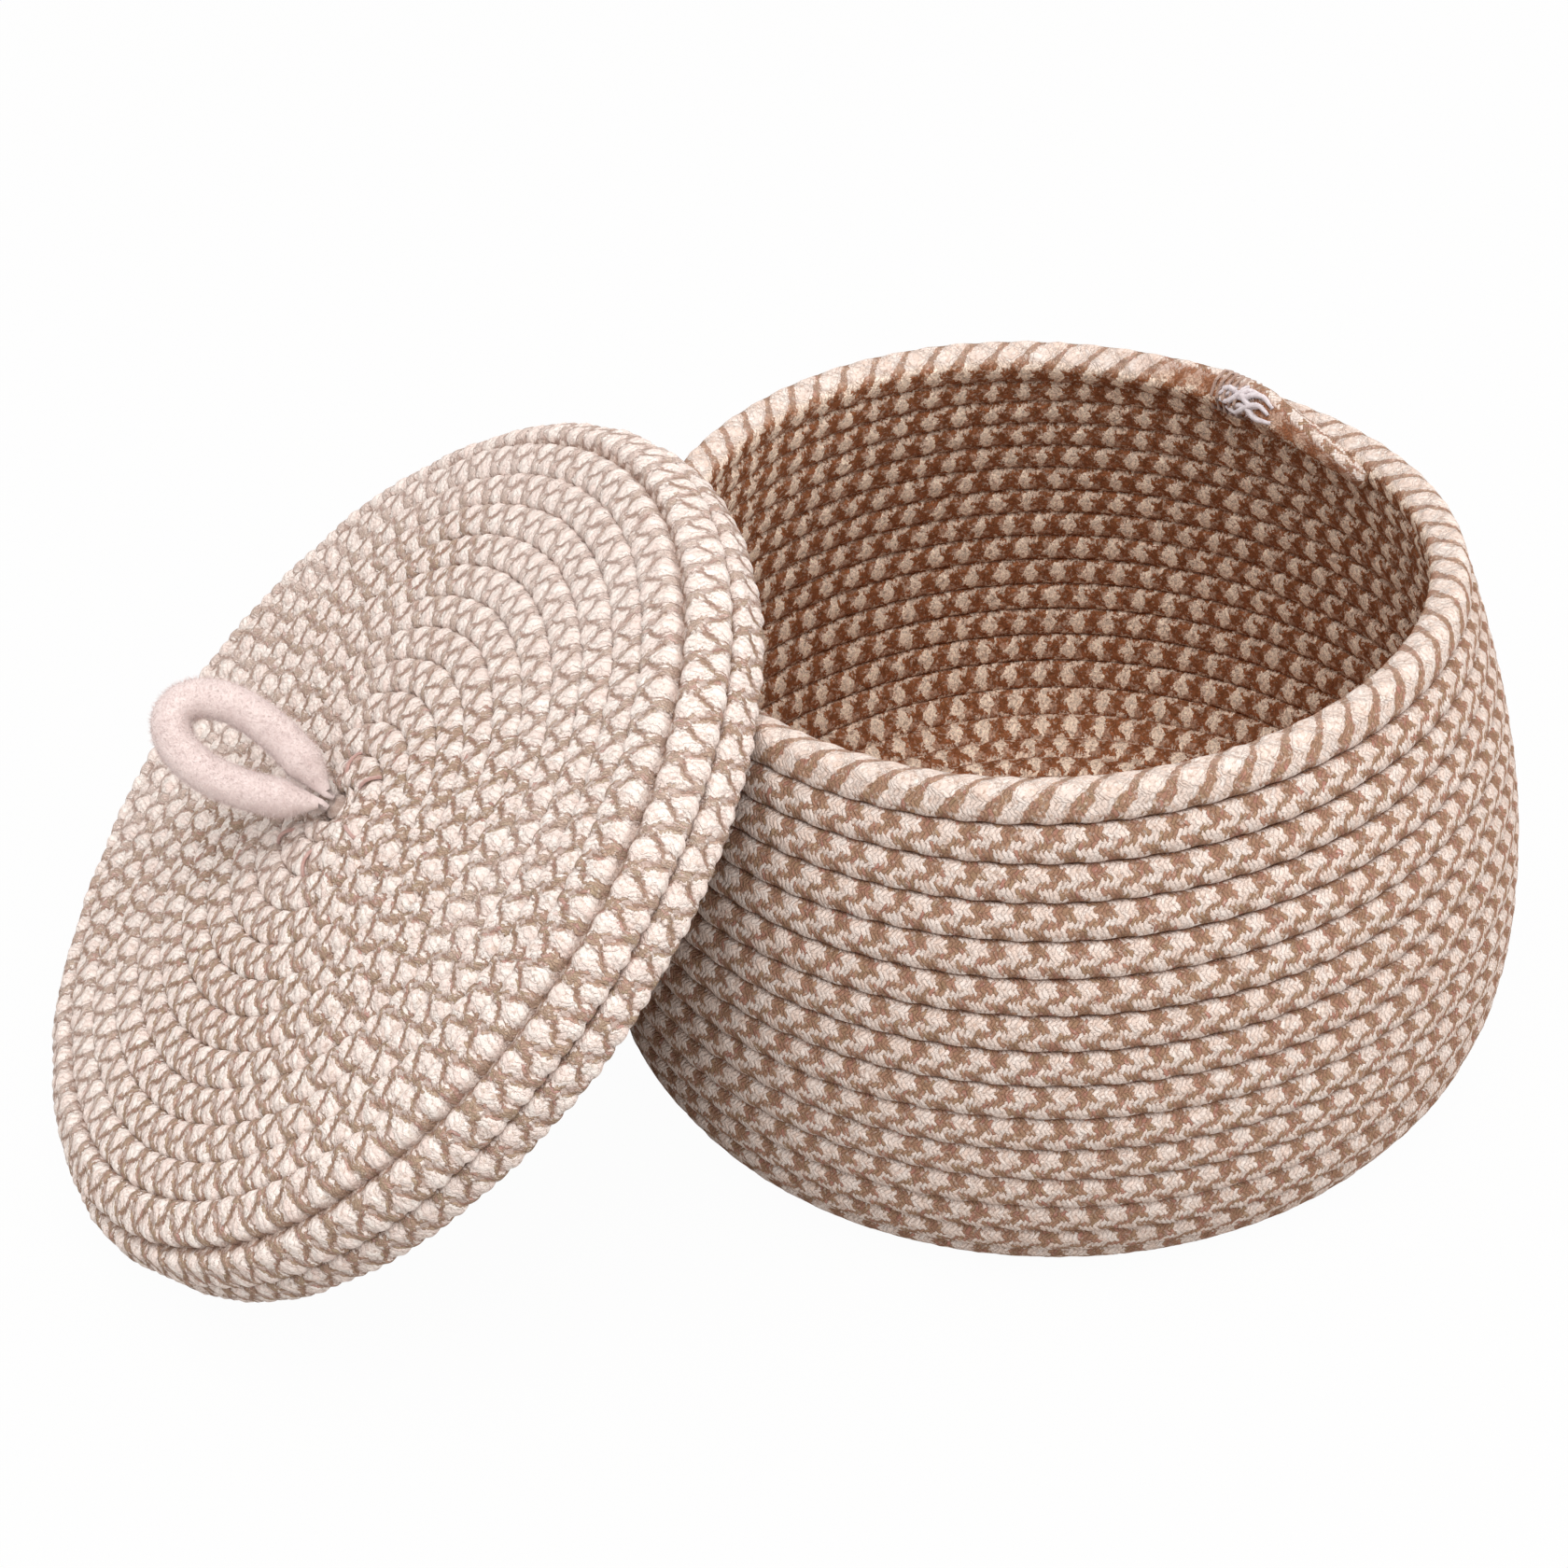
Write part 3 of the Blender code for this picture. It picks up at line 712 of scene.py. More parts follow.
lidFinish = dict(
    basketFinish, cream=(235, 224, 216), creamWarm=(230, 211, 202), creamGrooveShade=(196, 169, 155),
    taupe=(178, 149, 131), olive=(172, 151, 127), rose=(190, 148, 138), grooveShade=(138, 104, 88),
    grooveShadeShare=0.6, topFuller=0.0, topHighlight=0.0, fade=0.85, fuller=0.74, insideFuller=0.6, patchy=1.2, speckle=0.34,
    wobble=0.0018, wobbleRound=0.07, fray=0.0012, frayRound=0.046,
    strandHeight=0.0003, pillowHeight=0.0005, lumpHeight=0.001, fuzzHeight=0.0004, dotShade=0.1,
    evenPuff=0.9, outlineShade=0.6, creaseShadeColour=(168, 138, 122), creaseShadeShare=0.3, insideCream=(232, 212, 196), insideTaupe=(160, 120, 100),
    insideGrooveShade=(112, 78, 62))


def braidedCotton(name, values):
    made, tree, shader = shaderTree(name)
    lay = tree.nodes.new("ShaderNodeUVMap")
    lay.uv_map = "ropeLay"
    parts = tree.nodes.new("ShaderNodeSeparateXYZ")
    tree.links.new(lay.outputs[0], parts.inputs[0])
    rimward = tree.nodes.new("ShaderNodeAttribute")
    rimward.attribute_name = "topmost"
    topmost = rimward.outputs["Fac"]
    place = tree.nodes.new("ShaderNodeTexCoord").outputs["Object"]
    along, around = parts.outputs[0], parts.outputs[1]
    # The map runs from the groove below, over the outer face and the top, to the face inside
    shifted = maths(tree, "MULTIPLY_ADD", topmost, -0.15, parts.outputs[1])
    inside = spreadOut(tree, shifted, 0.18, 0.27)
    # The strands wander a little and their edges are frayed
    looser = maths(tree, "MULTIPLY_ADD", inside, values["insideWander"], 1.0)
    for scale, far, farRound in ((260, "wobble", "wobbleRound"), (1500, "fray", "frayRound")):
        drift = noiseColour(tree, place, scale)
        shift = maths(tree, "MULTIPLY", maths(tree, "SUBTRACT", drift[0], 0.5), looser)
        turned = maths(tree, "MULTIPLY", maths(tree, "SUBTRACT", drift[1], 0.5), looser)
        along = maths(tree, "MULTIPLY_ADD", shift, values[far], along)
        around = maths(tree, "MULTIPLY_ADD", turned, values[farRound], around)
    top = spreadOut(tree, maths(tree, "SINE", maths(tree, "MULTIPLY", parts.outputs[1], 2 * math.pi)), 0.5, 0.95)
    rimShare = maths(tree, "MAXIMUM", topmost, 0.0)
    top = maths(tree, "MULTIPLY", top, rimShare)
    fromMiddle = maths(tree, "MULTIPLY", maths(tree, "SUBTRACT", parts.outputs[1], values["bandMiddle"]), 2 * math.pi)
    banded = spreadOut(tree, maths(tree, "COSINE", fromMiddle), values["bandReach"] - 0.1, values["bandReach"] + 0.1)
    banded = maths(tree, "MULTIPLY", banded, rimShare)
    fuller = maths(tree, "MULTIPLY_ADD", inside, values["insideFuller"] - values["fuller"], values["fuller"])
    crest = maths(tree, "MULTIPLY", maths(tree, "SUBTRACT", parts.outputs[1], values["crestMiddle"]), 2 * math.pi)
    crest = spreadOut(tree, maths(tree, "COSINE", crest), 0.5, 0.97)
    crest = maths(tree, "MULTIPLY", maths(tree, "MULTIPLY", crest, rimShare), values["topFuller"])
    fuller = maths(tree, "ADD", crest, fuller)
    patch = maths(tree, "SUBTRACT", noise(tree, place, 17, 1.0), 0.5)
    fuller = maths(tree, "MULTIPLY_ADD", patch, values["patchy"], fuller)
    chance = maths(tree, "SUBTRACT", noise(tree, place, 150, 0.0), 0.5)
    fuller = maths(tree, "MULTIPLY_ADD", chance, values["chance"], fuller)
    braid = braidField(tree, along, around, fuller)
    seed = maths(tree, "MULTIPLY", braid["number"], 7.31)
    slow = vectorOf(tree, maths(tree, "MULTIPLY", braid["run"], 0.23), seed, 0.0)
    creamTint = spreadOut(tree, noise(tree, slow, 1.0, 1.0), 0.35, 0.65)
    taupeTint = spreadOut(tree, noise(tree, vectorMaths(tree, "SCALE", slow, scale=1.7), 1.0, 1.0), 0.3, 0.7)
    cream = mixColour(tree, linear(*values["cream"]), linear(*values["creamWarm"]), creamTint)
    brown = mixColour(tree, linear(*values["taupe"]), linear(*values["olive"]), taupeTint)
    roseTint = spreadOut(tree, noise(tree, vectorMaths(tree, "SCALE", slow, scale=2.3), 1.0, 1.0), 0.52, 0.72)
    brown = mixColour(tree, brown, linear(*values["rose"]), roseTint)
    spot = tree.nodes.new("ShaderNodeSeparateXYZ")
    tree.links.new(place, spot.inputs[0])
    backward = maths(tree, "MULTIPLY_ADD", spot.outputs[1], 2.6, noise(tree, place, 16, 1.0))
    pale = maths(tree, "MULTIPLY", spreadOut(tree, backward, 0.28, 0.62), values["fade"])
    brown = mixColour(tree, brown, linear(*values["creamWarm"]), pale)
    # Painted highlight: the taupe on top of the rim is painted paler, as where the light falls on it
    brown = mixColour(tree, brown, linear(*values["highlitTaupe"]), maths(tree, "MULTIPLY", top, values["topHighlight"]))
    # The side that faces into the basket is warmer, from the light that the walls throw at each other
    cream = mixColour(tree, cream, linear(*values["insideCream"]), inside)
    insideTint = spreadOut(tree, noise(tree, vectorMaths(tree, "ADD", place, slow), 20, 2.0), 0.4, 0.62)
    insideBrown = mixColour(tree, linear(*values["insideTaupe"]), linear(*values["insideOlive"]), insideTint)
    brown = mixColour(tree, brown, insideBrown, inside)
    # Painted shade: the dark colour that low places on the strands are mixed towards
    grooveShade = mixColour(tree, linear(*values["grooveShade"]), linear(*values["creamGrooveShade"]), braid["cream"])
    grooveShade = mixColour(tree, grooveShade, linear(*values["insideGrooveShade"]), inside)
    horn = maths(tree, "MULTIPLY", maths(tree, "SUBTRACT", 1.0, braid["both"]), inside)
    left = maths(tree, "MULTIPLY_ADD", braid["falling"], values["fallingHorn"] - values["insideHorn"],
                 values["insideHorn"])
    share = maths(tree, "SUBTRACT", 1.0, maths(tree, "MULTIPLY", horn, maths(tree, "SUBTRACT", 1.0, left)))
    loose = maths(tree, "SUBTRACT", noise(tree, place, 330, 2.0), 0.5)
    band = maths(tree, "MULTIPLY_ADD", loose, values["bandLoose"], braid["rising"])
    band = spreadOut(tree, band, -0.14, 0.14)
    mask = choose(tree, maths(tree, "MULTIPLY", braid["cream"], share), band, banded)
    # Single fibres of one colour stray over the other
    stray = maths(tree, "MULTIPLY", spreadOut(tree, noise(tree, place, 820, 2.0, 0.6), 0.56, 0.66), values["stray"])
    mask = choose(tree, mask, maths(tree, "SUBTRACT", 1.0, mask), stray)
    colour = mixColour(tree, brown, cream, mask)
    # Single fibres run along each strand
    strandWise = vectorOf(tree, maths(tree, "MULTIPLY", braid["across"], 5.0),
                          maths(tree, "MULTIPLY", braid["share"], 1.1),
                          maths(tree, "MULTIPLY_ADD", braid["run"], 0.31, seed))
    fibres = noise(tree, strandWise, 1.0, 3.0, 0.65)
    shade = maths(tree, "MULTIPLY_ADD", maths(tree, "SUBTRACT", fibres, 0.5), values["fibre"] * 2, 1.0)
    speckle = maths(tree, "SUBTRACT", noise(tree, place, 950, 3.0, 0.75), 0.5)
    speckled = maths(tree, "MULTIPLY_ADD", inside, values["insideSpeckle"] * 2, values["speckle"] * 2)
    shade = maths(tree, "ADD", maths(tree, "MULTIPLY", speckle, speckled), shade)
    lit = vectorMaths(tree, "SCALE", colour, scale=shade)
    # Painted shade at the strands' low edges, less in the rim's bands
    deep = maths(tree, "POWER", maths(tree, "SUBTRACT", 1.0, braid["height"]), 2.2)
    deep = maths(tree, "MULTIPLY", deep, maths(tree, "MULTIPLY_ADD", banded, -0.8, 1.0))
    colour = mixColour(tree, lit, grooveShade, maths(tree, "MULTIPLY", deep, values["grooveShadeShare"]))
    unbanded = maths(tree, "SUBTRACT", 1.0, banded)
    # Painted shade in the sunken taupe crossings
    dot = maths(tree, "MULTIPLY", spreadOut(tree, braid["pillow"], -0.1, -1.0), values["dotShade"])
    dot = maths(tree, "MULTIPLY", dot, unbanded)
    colour = mixColour(tree, colour, grooveShade, dot)
    # Painted shade along the edges between the braid's cells, where they sink
    puff = maths(tree, "ABSOLUTE", braid["pillow"])
    outlined = maths(tree, "MULTIPLY", spreadOut(tree, puff, 0.3, 0.02), values["outlineShade"])
    colour = mixColour(tree, colour, linear(*values["grooveShade"]), outlined)
    # Painted shade deep between the rows: the light that gets back out there is brown, so the rope's side is painted
    # brown
    contact = maths(tree, "ABSOLUTE", maths(tree, "SINE", maths(tree, "MULTIPLY", parts.outputs[1], 2 * math.pi)))
    creaseShade = maths(tree, "MULTIPLY", spreadOut(tree, contact, values["creaseShadeFrom"], values["creaseShadeTo"]), values["creaseShadeShare"])
    creaseShade = maths(tree, "MULTIPLY", creaseShade, maths(tree, "SUBTRACT", 1.0, top))
    colour = mixColour(tree, colour, linear(*values["creaseShadeColour"]), creaseShade)
    tree.links.new(colour, shader.inputs["Base Color"])
    bump = tree.nodes.new("ShaderNodeBump")
    bump.inputs["Distance"].default_value = 1.0
    fuzz = noise(tree, place, 2600, 2.0, 0.6)
    raised = maths(tree, "MULTIPLY", maths(tree, "MULTIPLY_ADD", fibres, 0.35, braid["height"]), values["strandHeight"])
    swell = swelled(tree, braid["pillow"], values["evenPuff"])
    raised = maths(tree, "MULTIPLY_ADD", swell, values["pillowHeight"], raised)
    raised = maths(tree, "MULTIPLY_ADD", noise(tree, place, 420, 1.0), values["lumpHeight"], raised)
    tree.links.new(maths(tree, "MULTIPLY_ADD", fuzz, values["fuzzHeight"], raised), bump.inputs["Height"])
    tree.links.new(bump.outputs[0], shader.inputs["Normal"])
    shader.inputs["Roughness"].default_value = 0.95
    shader.inputs["Specular IOR Level"].default_value = 0.03
    return made


def felt(name, colour, darker, scale):
    made, tree, shader = shaderTree(name)
    place = tree.nodes.new("ShaderNodeTexCoord").outputs["Object"]
    cloud = noise(tree, place, scale, 4.0, 0.6)
    fine = noise(tree, place, scale * 9, 3.0, 0.7)
    share = spreadOut(tree, maths(tree, "MULTIPLY_ADD", fine, 0.5, maths(tree, "MULTIPLY", cloud, 0.5)), 0.35, 0.65)
    tree.links.new(mixColour(tree, linear(*darker), linear(*colour), share), shader.inputs["Base Color"])
    bump = tree.nodes.new("ShaderNodeBump")
    bump.inputs["Distance"].default_value = 0.0003
    tree.links.new(fine, bump.inputs["Height"])
    tree.links.new(bump.outputs[0], shader.inputs["Normal"])
    shader.inputs["Roughness"].default_value = 0.95
    shader.inputs["Specular IOR Level"].default_value = 0.15
    shader.inputs["Sheen Weight"].default_value = 0.3
    return made


basketCotton = braidedCotton("braidedCotton", basketFinish)
lidCotton = braidedCotton("braidedLidCotton", lidFinish)
loopFelt = felt("paleFeltCord", (231, 215, 210), (208, 188, 184), 260)
lilacThread = felt("paleLilacThread", (238, 228, 230), (212, 196, 198), 900)
boundThread = felt("boundThread", (192, 166, 152), (138, 102, 86), 420)
roseThread = felt("roseThread", (208, 172, 162), (182, 136, 126), 700)
tuftCotton = felt("tuftCotton", (206, 186, 174), (140, 108, 94), 520)

# ---- The rope, as one tree run on each stretch
rope = ropeTree()
spacing = basketValues["pitch"] / basketValues["perPeriod"]
lidSpacing = lidValues["pitch"] / lidValues["perPeriod"]


def ropePiece(name, path, node, body, finish, v, sides=None, mapRows=12):
    piece = growFrom(rope, pathMesh(name, path), name, {
        "Radius": v["thickness"], "Relief": ringValues["relief"], "Floor": 0.0,
        "Squareness": v["squareness"], "Swell": v["swell"], "Even Swell": v["evenSwell"],
        "Sides": sides or ringValues["sides"], "Map Rows": mapRows, "Finish": finish})
    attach(piece, body)
    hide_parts(node)
    print(name, len(piece.data.polygons), "faces")
    return piece


outline = basketOutline(basketValues)
centre, outward = coilPath(outline, basketValues, basketValues["topAzimuth"], basketValues["innerRadius"], 1)
centre = sway(centre, basketValues)
endSpots, endOut, endGirth = diveEnd(centre, basketValues)
centre, outward, girth = addHeart(centre, outward, basketValues, 0)
centre = np.concatenate([centre, endSpots])
outward = np.concatenate([outward, endOut])
girth = np.concatenate([girth, endGirth])
whole = ringPath(centre, outward, girth, spacing)
fromEnd = (whole["along"][-1] - whole["along"]) / (math.radians(1) * basketValues["rimRadius"])
rimStart = basketValues["dive"] + basketValues["tail"] + 360
rimEnd = basketValues["tail"] + basketValues["dive"] - basketValues["whipFrom"]
whole["topmost"] = (1 / (1 + np.exp((fromEnd - rimStart + basketValues["whipTo"]) / 6))
                    / (1 + np.exp(-(fromEnd - rimEnd) / 2)))
footReach = basketValues["footRadius"] - basketValues["ropeRadius"]
reachHere = np.hypot(whole["centre"][:, 0], whole["centre"][:, 1])
footRing = int(np.argmax(reachHere > footReach))
last = len(whole["along"]) - 1
ropePiece("basketBase", cutPath(whole, 0, footRing), "base_coil", "basket", basketCotton, basketValues)
wallCuts = np.linspace(footRing, last, 5).astype(int)
for number in range(4):
    stretch = cutPath(whole, wallCuts[number], wallCuts[number + 1])
    ropePiece("basketWall" + str(number + 1), stretch, "wall_coil", "basket", basketCotton, basketValues)

lidTurn = Matrix.Rotation(math.radians(lidValues["leanAzimuth"]), 4, "Z") @ Matrix.Rotation(-math.radians(lidValues["tilt"]), 4, "Y")
lidFrame = Matrix.Translation(lidValues["centre"]) @ lidTurn
lidLine = lidOutline(lidValues)
lidCentre, lidOut = coilPath(lidLine, lidValues, lidValues["endAzimuth"], lidValues["holeRadius"] + lidValues["ropeRadius"], -1)
lidCentre = uneven(lidCentre, lidOut, lidValues["uneven"], 11)
fromEdge = np.linspace(lidLine[1][-1] - lidValues["holeRadius"] - lidValues["ropeRadius"], 0, len(lidCentre))
bent = np.exp(-((fromEdge - lidValues["bendBack"]) / lidValues["bendWidth"]) ** 2)
lidCentre, lidOut, lidGirth = addHeart(lidCentre, lidOut, lidValues, 1)
lidGirth[-len(bent):] *= 1 + lidValues["bendFuller"] * bent
lidWhole = ringPath(lidCentre, lidOut, lidGirth, lidSpacing)
lidWhole = turnPath(lidWhole, lidFrame)
lidEnd = len(lidWhole["along"]) - 1
skirtLength = lidValues["skirtTurns"] * 2 * math.pi * (lidValues["radius"] - lidValues["ropeRadius"])
skirtRing = lidEnd - int(skirtLength / lidSpacing)
domeMiddle = skirtRing // 2
ropePiece("lidDomeInner", cutPath(lidWhole, 0, domeMiddle), "lid_dome_coil", "lid", lidCotton, lidValues)
ropePiece("lidDomeOuter", cutPath(lidWhole, domeMiddle, skirtRing), "lid_dome_coil", "lid", lidCotton, lidValues)
ropePiece("lidSkirt", cutPath(lidWhole, skirtRing, lidEnd), "lid_skirt_coil", "lid", lidCotton, lidValues)


# ---- The felt loop that lifts the lid
loopValues = {
    "cord": 0.0095, "length": 0.0415, "width": 0.0190, "legOffset": 0.0015, "legGap": 0.0005,
    "tipRadius": 0.0008, "tipLength": 0.0024, "turn": 27.5, "flop": 36.0, "pivotHeight": 0.0034,
    "steps": 96, "sides": 32,
    "bareSteps": 8,       # steps at the foot of each leg that have no fibres
}


def loopPath(v):
    widest = 4 / (3 * math.sqrt(3))
    spots, girths = [], []
    for step in range(v["steps"] + 1):
        angle = 2 * math.pi * step / v["steps"]
        side = math.sin(angle) * abs(math.sin(angle / 2))
        across = v["legOffset"] * math.cos(angle / 2) + (v["width"] / 2 - v["legOffset"]) * side / widest
        spots.append(Vector((across, 0, v["length"] * (1 - math.cos(angle)) / 2)))
        nearLeg = 4 * min(step, v["steps"] - step) < v["steps"]
        room = abs(across) - v["legGap"] / 2
        girths.append(min(v["cord"] / 2, room) if nearLeg else v["cord"] / 2)
    tip = Vector((0, 0, -v["tipLength"]))
    return [spots[0] + tip] + spots + [spots[-1] + tip], [v["tipRadius"]] + girths + [v["tipRadius"]]


def tube(name, spots, girths, sides, finish):
    # A closed tube along the spots, its rings kept square to the line and unturned
    verts, faces = [], []
    count = len(spots)
    side = None
    for index, (spot, girth) in enumerate(zip(spots, girths)):
        ahead = (spots[min(index + 1, count - 1)] - spots[max(index - 1, 0)]).normalized()
        side = ahead.orthogonal().normalized() if side is None else (side - ahead * side.dot(ahead)).normalized()
        other = ahead.cross(side)
        for step in range(sides):
            angle = 2 * math.pi * step / sides
            verts.append(spot + girth * (side * math.cos(angle) + other * math.sin(angle)))
    for ring in range(count - 1):
        for step in range(sides):
            after = (step + 1) % sides
            low, high = ring * sides, (ring + 1) * sides
            faces.append((low + step, low + after, high + after, high + step))
    verts += [spots[0], spots[-1]]
    for step in range(sides):
        after = (step + 1) % sides
        faces.append((count * sides, after, step))
        faces.append((count * sides + 1, (count - 1) * sides + step, (count - 1) * sides + after))
    mesh = bpy.data.meshes.new(name)
    mesh.from_pydata([tuple(vert) for vert in verts], [], faces)
    mesh.materials.append(finish)
    mesh.shade_smooth()
    piece = bpy.data.objects.new(name, mesh)
    scene.collection.objects.link(piece)
    return piece


apex = lidValues["skirt"] + lidValues["rise"]
loopTurn = Matrix.Rotation(math.radians(loopValues["turn"]), 4, "Z") @ Matrix.Rotation(-math.radians(loopValues["flop"]), 4, "X")
loopFrame = lidFrame @ Matrix.Translation((0, 0, apex + loopValues["pivotHeight"])) @ loopTurn
loopSpots, loopGirths = loopPath(loopValues)
loop = tube("feltLoop", [loopFrame @ spot for spot in loopSpots], loopGirths, loopValues["sides"], loopFelt)
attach(loop, "loop")
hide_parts("loop_handle")

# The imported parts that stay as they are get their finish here
def dressPacked(label, finish):
    for piece in list(scene.objects):
        if piece.type == "MESH" and piece.name.startswith(label):
            piece.data.materials.clear()
            piece.data.materials.append(finish)
            print("dressed", piece.name)


dressPacked("rim_whipping", boundThread)
dressPacked("loop_stitch", roseThread)
dressPacked("loop_knot", tuftCotton)

# Fine fibres that stand off a soft surface
fuzzValues = {"length": 0.0017, "thickness": 0.00006, "density": 5000000.0, "seed": 4}


def fibreTree(finish, v):
    tree = bpy.data.node_groups.new("standingFibres", "GeometryNodeTree")
    tree.interface.new_socket(name="Skin", in_out="INPUT", socket_type="NodeSocketGeometry")
    addFloat(tree, "Density", v["density"])
    addFloat(tree, "Length", v["length"])
    addFloat(tree, "Thickness", v["thickness"])
    addWhole(tree, "Seed", v["seed"])
    tree.interface.new_socket(name="Finish", in_out="INPUT", socket_type="NodeSocketMaterial")
    tree.interface.new_socket(name="Fibres", in_out="OUTPUT", socket_type="NodeSocketGeometry")
    given = tree.nodes.new("NodeGroupInput").outputs
    spots = tree.nodes.new("GeometryNodeDistributePointsOnFaces")
    tree.links.new(given["Skin"], spots.inputs["Mesh"])
    tree.links.new(given["Density"], spots.inputs["Density"])
    tree.links.new(given["Seed"], spots.inputs["Seed"])
    cone = tree.nodes.new("GeometryNodeMeshCone")
    cone.inputs["Vertices"].default_value = 3
    cone.inputs["Radius Top"].default_value = 0.0
    tree.links.new(given["Thickness"], cone.inputs["Radius Bottom"])
    tree.links.new(given["Length"], cone.inputs["Depth"])
    lean = tree.nodes.new("FunctionNodeRandomValue")
    lean.data_type = "FLOAT_VECTOR"
    lean.inputs[0].default_value = (-1.1, -1.1, -3.1)
    lean.inputs[1].default_value = (1.1, 1.1, 3.1)
    tree.links.new(given["Seed"], lean.inputs["Seed"])
    tilted = tree.nodes.new("FunctionNodeRotateRotation")
    tilted.rotation_space = "LOCAL"
    tree.links.new(spots.outputs["Rotation"], tilted.inputs[0])
    tree.links.new(lean.outputs[0], tilted.inputs[1])
    sizes = tree.nodes.new("FunctionNodeRandomValue")
    sizes.inputs[2].default_value = 0.4
    sizes.inputs[3].default_value = 1.0
    grown = tree.nodes.new("GeometryNodeInstanceOnPoints")
    tree.links.new(spots.outputs["Points"], grown.inputs["Points"])
    tree.links.new(cone.outputs["Mesh"], grown.inputs["Instance"])
    tree.links.new(tilted.outputs[0], grown.inputs["Rotation"])
    tree.links.new(sizes.outputs[1], grown.inputs["Scale"])
    real = tree.nodes.new("GeometryNodeRealizeInstances")
    tree.links.new(grown.outputs["Instances"], real.inputs["Geometry"])
    dressed = tree.nodes.new("GeometryNodeSetMaterial")
    tree.links.new(real.outputs["Geometry"], dressed.inputs["Geometry"])
    tree.links.new(given["Finish"], dressed.inputs["Material"])
    out = tree.nodes.new("NodeGroupOutput")
    tree.links.new(dressed.outputs["Geometry"], out.inputs["Fibres"])
    return tree


fibres = fibreTree(loopFelt, fuzzValues)


def fuzzOn(name, skin, body, finish, density, length):
    carrier = bpy.data.objects.new(name + "Skin", skin.data.copy())
    scene.collection.objects.link(carrier)
    fuzz = growFrom(fibres, carrier, name, {
        "Density": density, "Length": length, "Thickness": fuzzValues["thickness"],
        "Seed": fuzzValues["seed"], "Finish": finish})
    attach(fuzz, body)
    print(name, len(fuzz.data.polygons), "faces")


fuzzy = slice(loopValues["bareSteps"], len(loopSpots) - loopValues["bareSteps"])
fuzzSkin = tube("fuzzSkin", [loopFrame @ spot for spot in loopSpots[fuzzy]], loopGirths[fuzzy], loopValues["sides"],
                loopFelt)
fuzzOn("loopFuzz", fuzzSkin, "loop", loopFelt, fuzzValues["density"], fuzzValues["length"])
bpy.data.objects.remove(fuzzSkin, do_unlink=True)

# Loose pale strands where the rope's end is bound off under the rim
tuftValues = {
    "girth": 0.0008,
    "lift": 0.0004,
    "steps": 14,
    # where each strand starts and ends, in degrees past the last whole turn, and its place round the rope
    "strands": [(83.8, 0.36, 90.6, 0.20, 0.03), (84.6, 0.31, 92.0, 0.25, -0.04), (85.0, 0.40, 93.2, 0.28, 0.04),
                (86.0, 0.27, 93.0, 0.21, 0.03), (83.2, 0.33, 88.0, 0.17, -0.03), (86.6, 0.38, 94.0, 0.32, -0.03)],
}


def tuftStrand(path, v, start, startRound, end, endRound, sag):
    spots, girths = [], []
    azimuths = np.degrees(np.arctan2(path["centre"][:, 1], path["centre"][:, 0]))
    passed = (basketValues["topAzimuth"] - azimuths) % 360
    from_ = len(passed) - 420
    for step in range(v["steps"] + 1):
        share = step / v["steps"]
        wanted = start + (end - start) * share
        ring = from_ + int(np.argmin(np.abs(passed[from_:] - wanted)))
        angle = 2 * math.pi * (startRound + (endRound - startRound) * share + sag * math.sin(2 * math.pi * share))
        thick = v["girth"] * (0.35 + 0.65 * math.sin(math.pi * min(max(share, 0.04), 0.96)) ** 0.5)
        reach = basketValues["thickness"] * path["girth"][ring] + v["lift"] + thick * math.sin(math.pi * share)
        out, up = path["outward"][ring], path["upward"][ring]
        spots.append(Vector(path["centre"][ring] + reach * (math.cos(angle) * out + math.sin(angle) * up)))
        girths.append(thick)
    return spots, girths


for number, strand in enumerate(tuftValues["strands"]):
    spots, girths = tuftStrand(whole, tuftValues, *strand)
    made = tube("endStrand" + str(number + 1), spots, girths, 10, lilacThread)
    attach(made, "basket")
    fuzzOn("endStrandFuzz" + str(number + 1), made, "basket", lilacThread, 1500000.0, 0.0014)

# ---- Floor, lights and background
stageValues = {
    "floorReach": 6.0,
    "floor": (182, 178, 175),       # as the floor throws light back
    "seen": 0.97,                   # share of plain white in what the camera sees of it
    "sky": 0.93,
    "key": 41.0,
    "keySize": 1.8,
    "keyPlace": (0.1, -0.9, 2.1),
    "side": 13.0,
    "sideSize": 1.2,
    "sidePlace": (1.9, 0.1, 0.9),
}


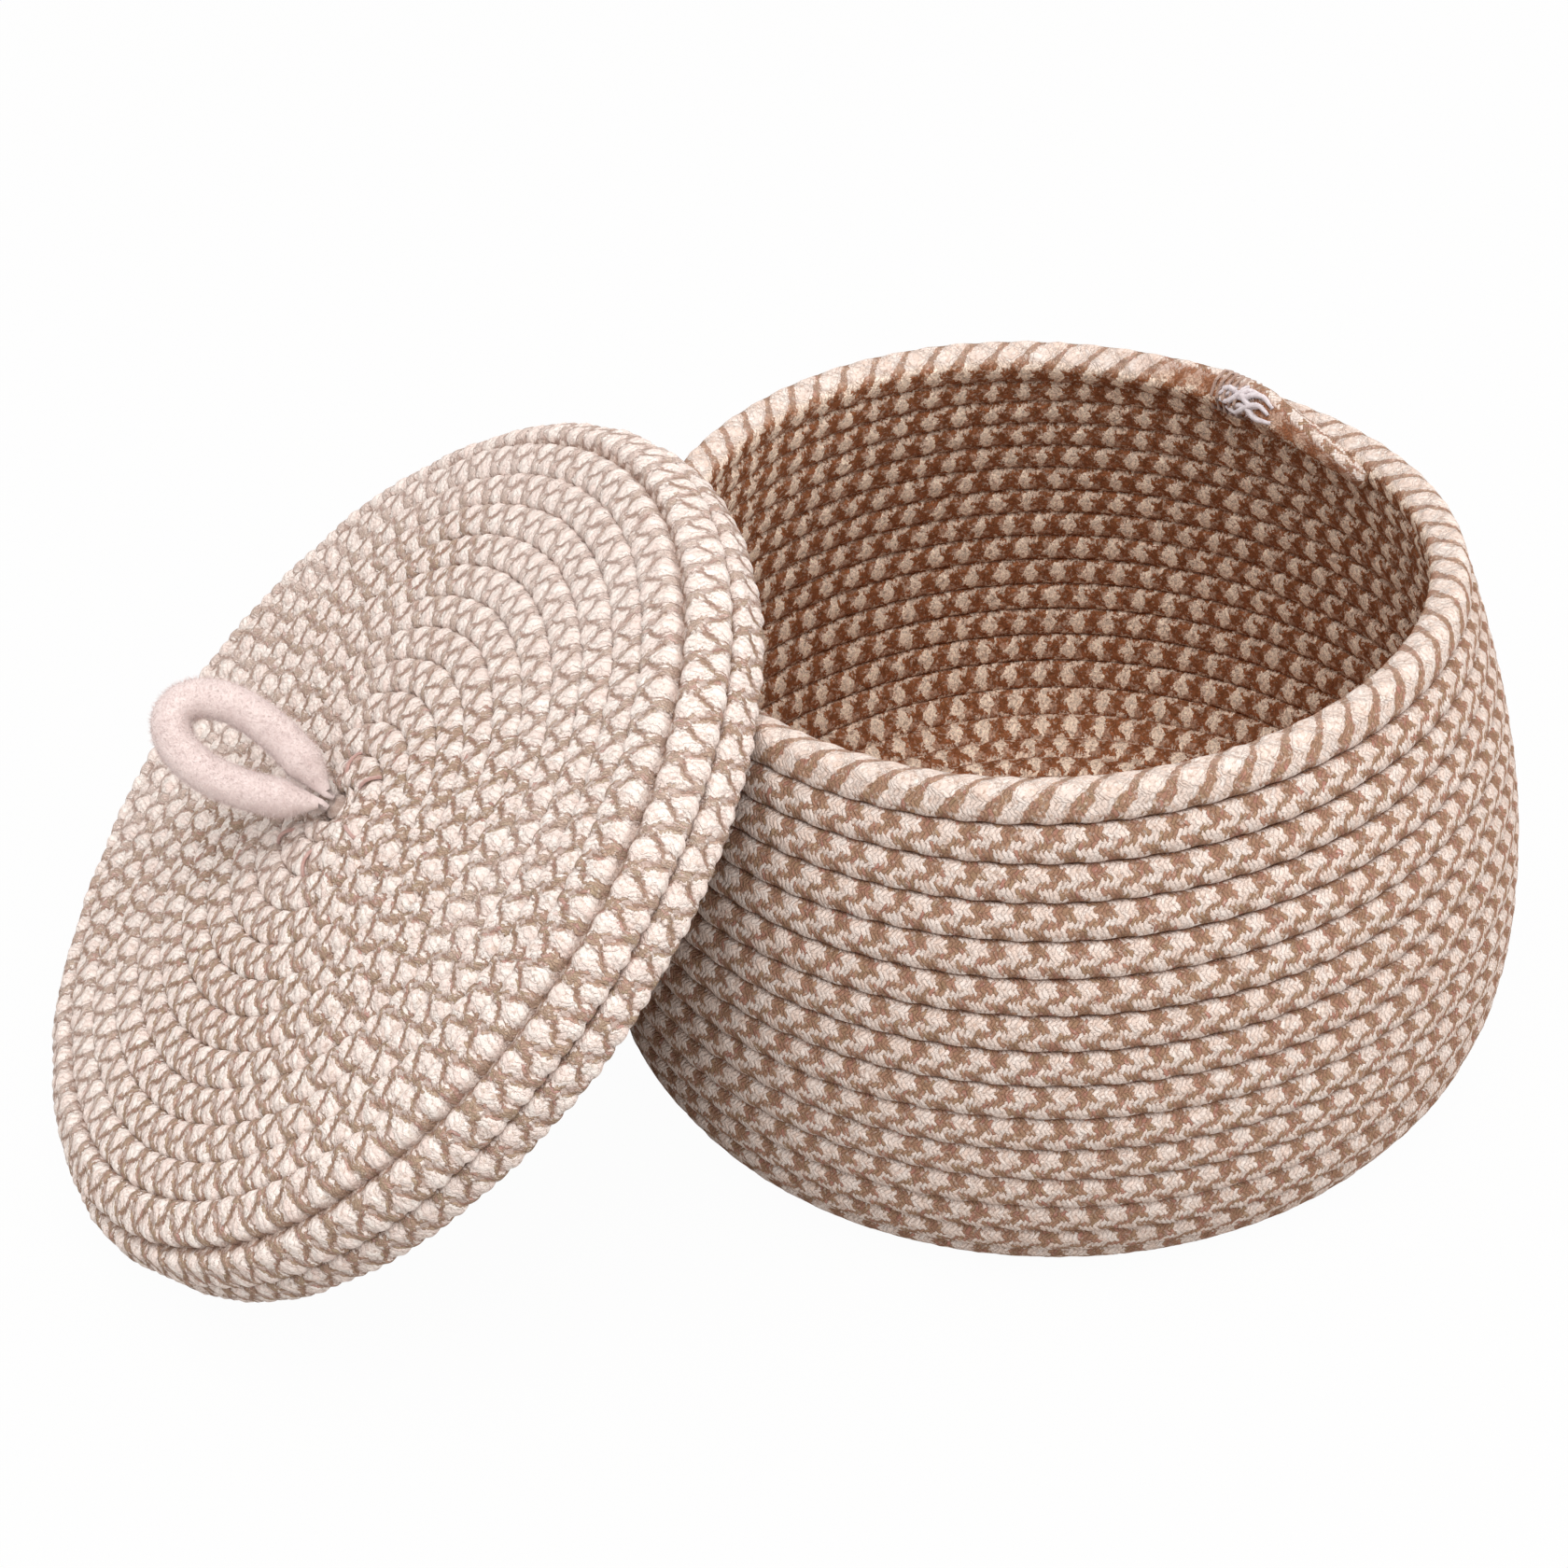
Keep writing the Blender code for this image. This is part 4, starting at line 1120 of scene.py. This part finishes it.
def makeStage(v):
    mesh = bpy.data.meshes.new("studioFloor")
    reach = v["floorReach"]
    mesh.from_pydata([(-reach, -reach, 0), (reach, -reach, 0), (reach, reach, 0), (-reach, reach, 0)], [], [(0, 1, 2, 3)])
    floor = bpy.data.objects.new("studioFloor", mesh)
    scene.collection.objects.link(floor)
    made, tree, shader = shaderTree("floorPaper")
    shader.inputs["Base Color"].default_value = linear(*v["floor"])
    shader.inputs["Roughness"].default_value = 0.9
    shader.inputs["Specular IOR Level"].default_value = 0.1
    white = tree.nodes.new("ShaderNodeEmission")
    rays = tree.nodes.new("ShaderNodeLightPath")
    mixed = tree.nodes.new("ShaderNodeMixShader")
    seen = maths(tree, "MULTIPLY", rays.outputs["Is Camera Ray"], v["seen"])
    tree.links.new(seen, mixed.inputs["Fac"])
    tree.links.new(shader.outputs[0], mixed.inputs[1])
    tree.links.new(white.outputs[0], mixed.inputs[2])
    tree.links.new(mixed.outputs[0], tree.nodes["Material Output"].inputs["Surface"])
    mesh.materials.append(made)
    world = bpy.data.worlds.new("studio")
    world.use_nodes = True
    nodes, links = world.node_tree.nodes, world.node_tree.links
    sky = nodes["Background"]
    sky.inputs["Color"].default_value = (1, 1, 1, 1)
    sky.inputs["Strength"].default_value = v["sky"]
    behind = nodes.new("ShaderNodeBackground")
    behind.inputs["Color"].default_value = (1, 1, 1, 1)
    worldRays = nodes.new("ShaderNodeLightPath")
    worldMix = nodes.new("ShaderNodeMixShader")
    links.new(worldRays.outputs["Is Camera Ray"], worldMix.inputs["Fac"])
    links.new(sky.outputs[0], worldMix.inputs[1])
    links.new(behind.outputs[0], worldMix.inputs[2])
    links.new(worldMix.outputs[0], nodes["World Output"].inputs["Surface"])
    scene.world = world
    lamp = bpy.data.lights.new("keyPanel", "AREA")
    lamp.energy = v["key"]
    lamp.size = v["keySize"]
    panel = bpy.data.objects.new("keyPanel", lamp)
    panel.location = v["keyPlace"]
    panel.rotation_euler = (-Vector(v["keyPlace"])).to_track_quat("-Z", "Y").to_euler()
    scene.collection.objects.link(panel)
    sideLamp = bpy.data.lights.new("sidePanel", "AREA")
    sideLamp.energy = v["side"]
    sideLamp.size = v["sideSize"]
    sidePanel = bpy.data.objects.new("sidePanel", sideLamp)
    sidePanel.location = v["sidePlace"]
    sidePanel.rotation_euler = (-Vector(v["sidePlace"])).to_track_quat("-Z", "Y").to_euler()
    scene.collection.objects.link(sidePanel)


makeStage(stageValues)
scene.view_settings.view_transform = "Standard"

print("scene made")
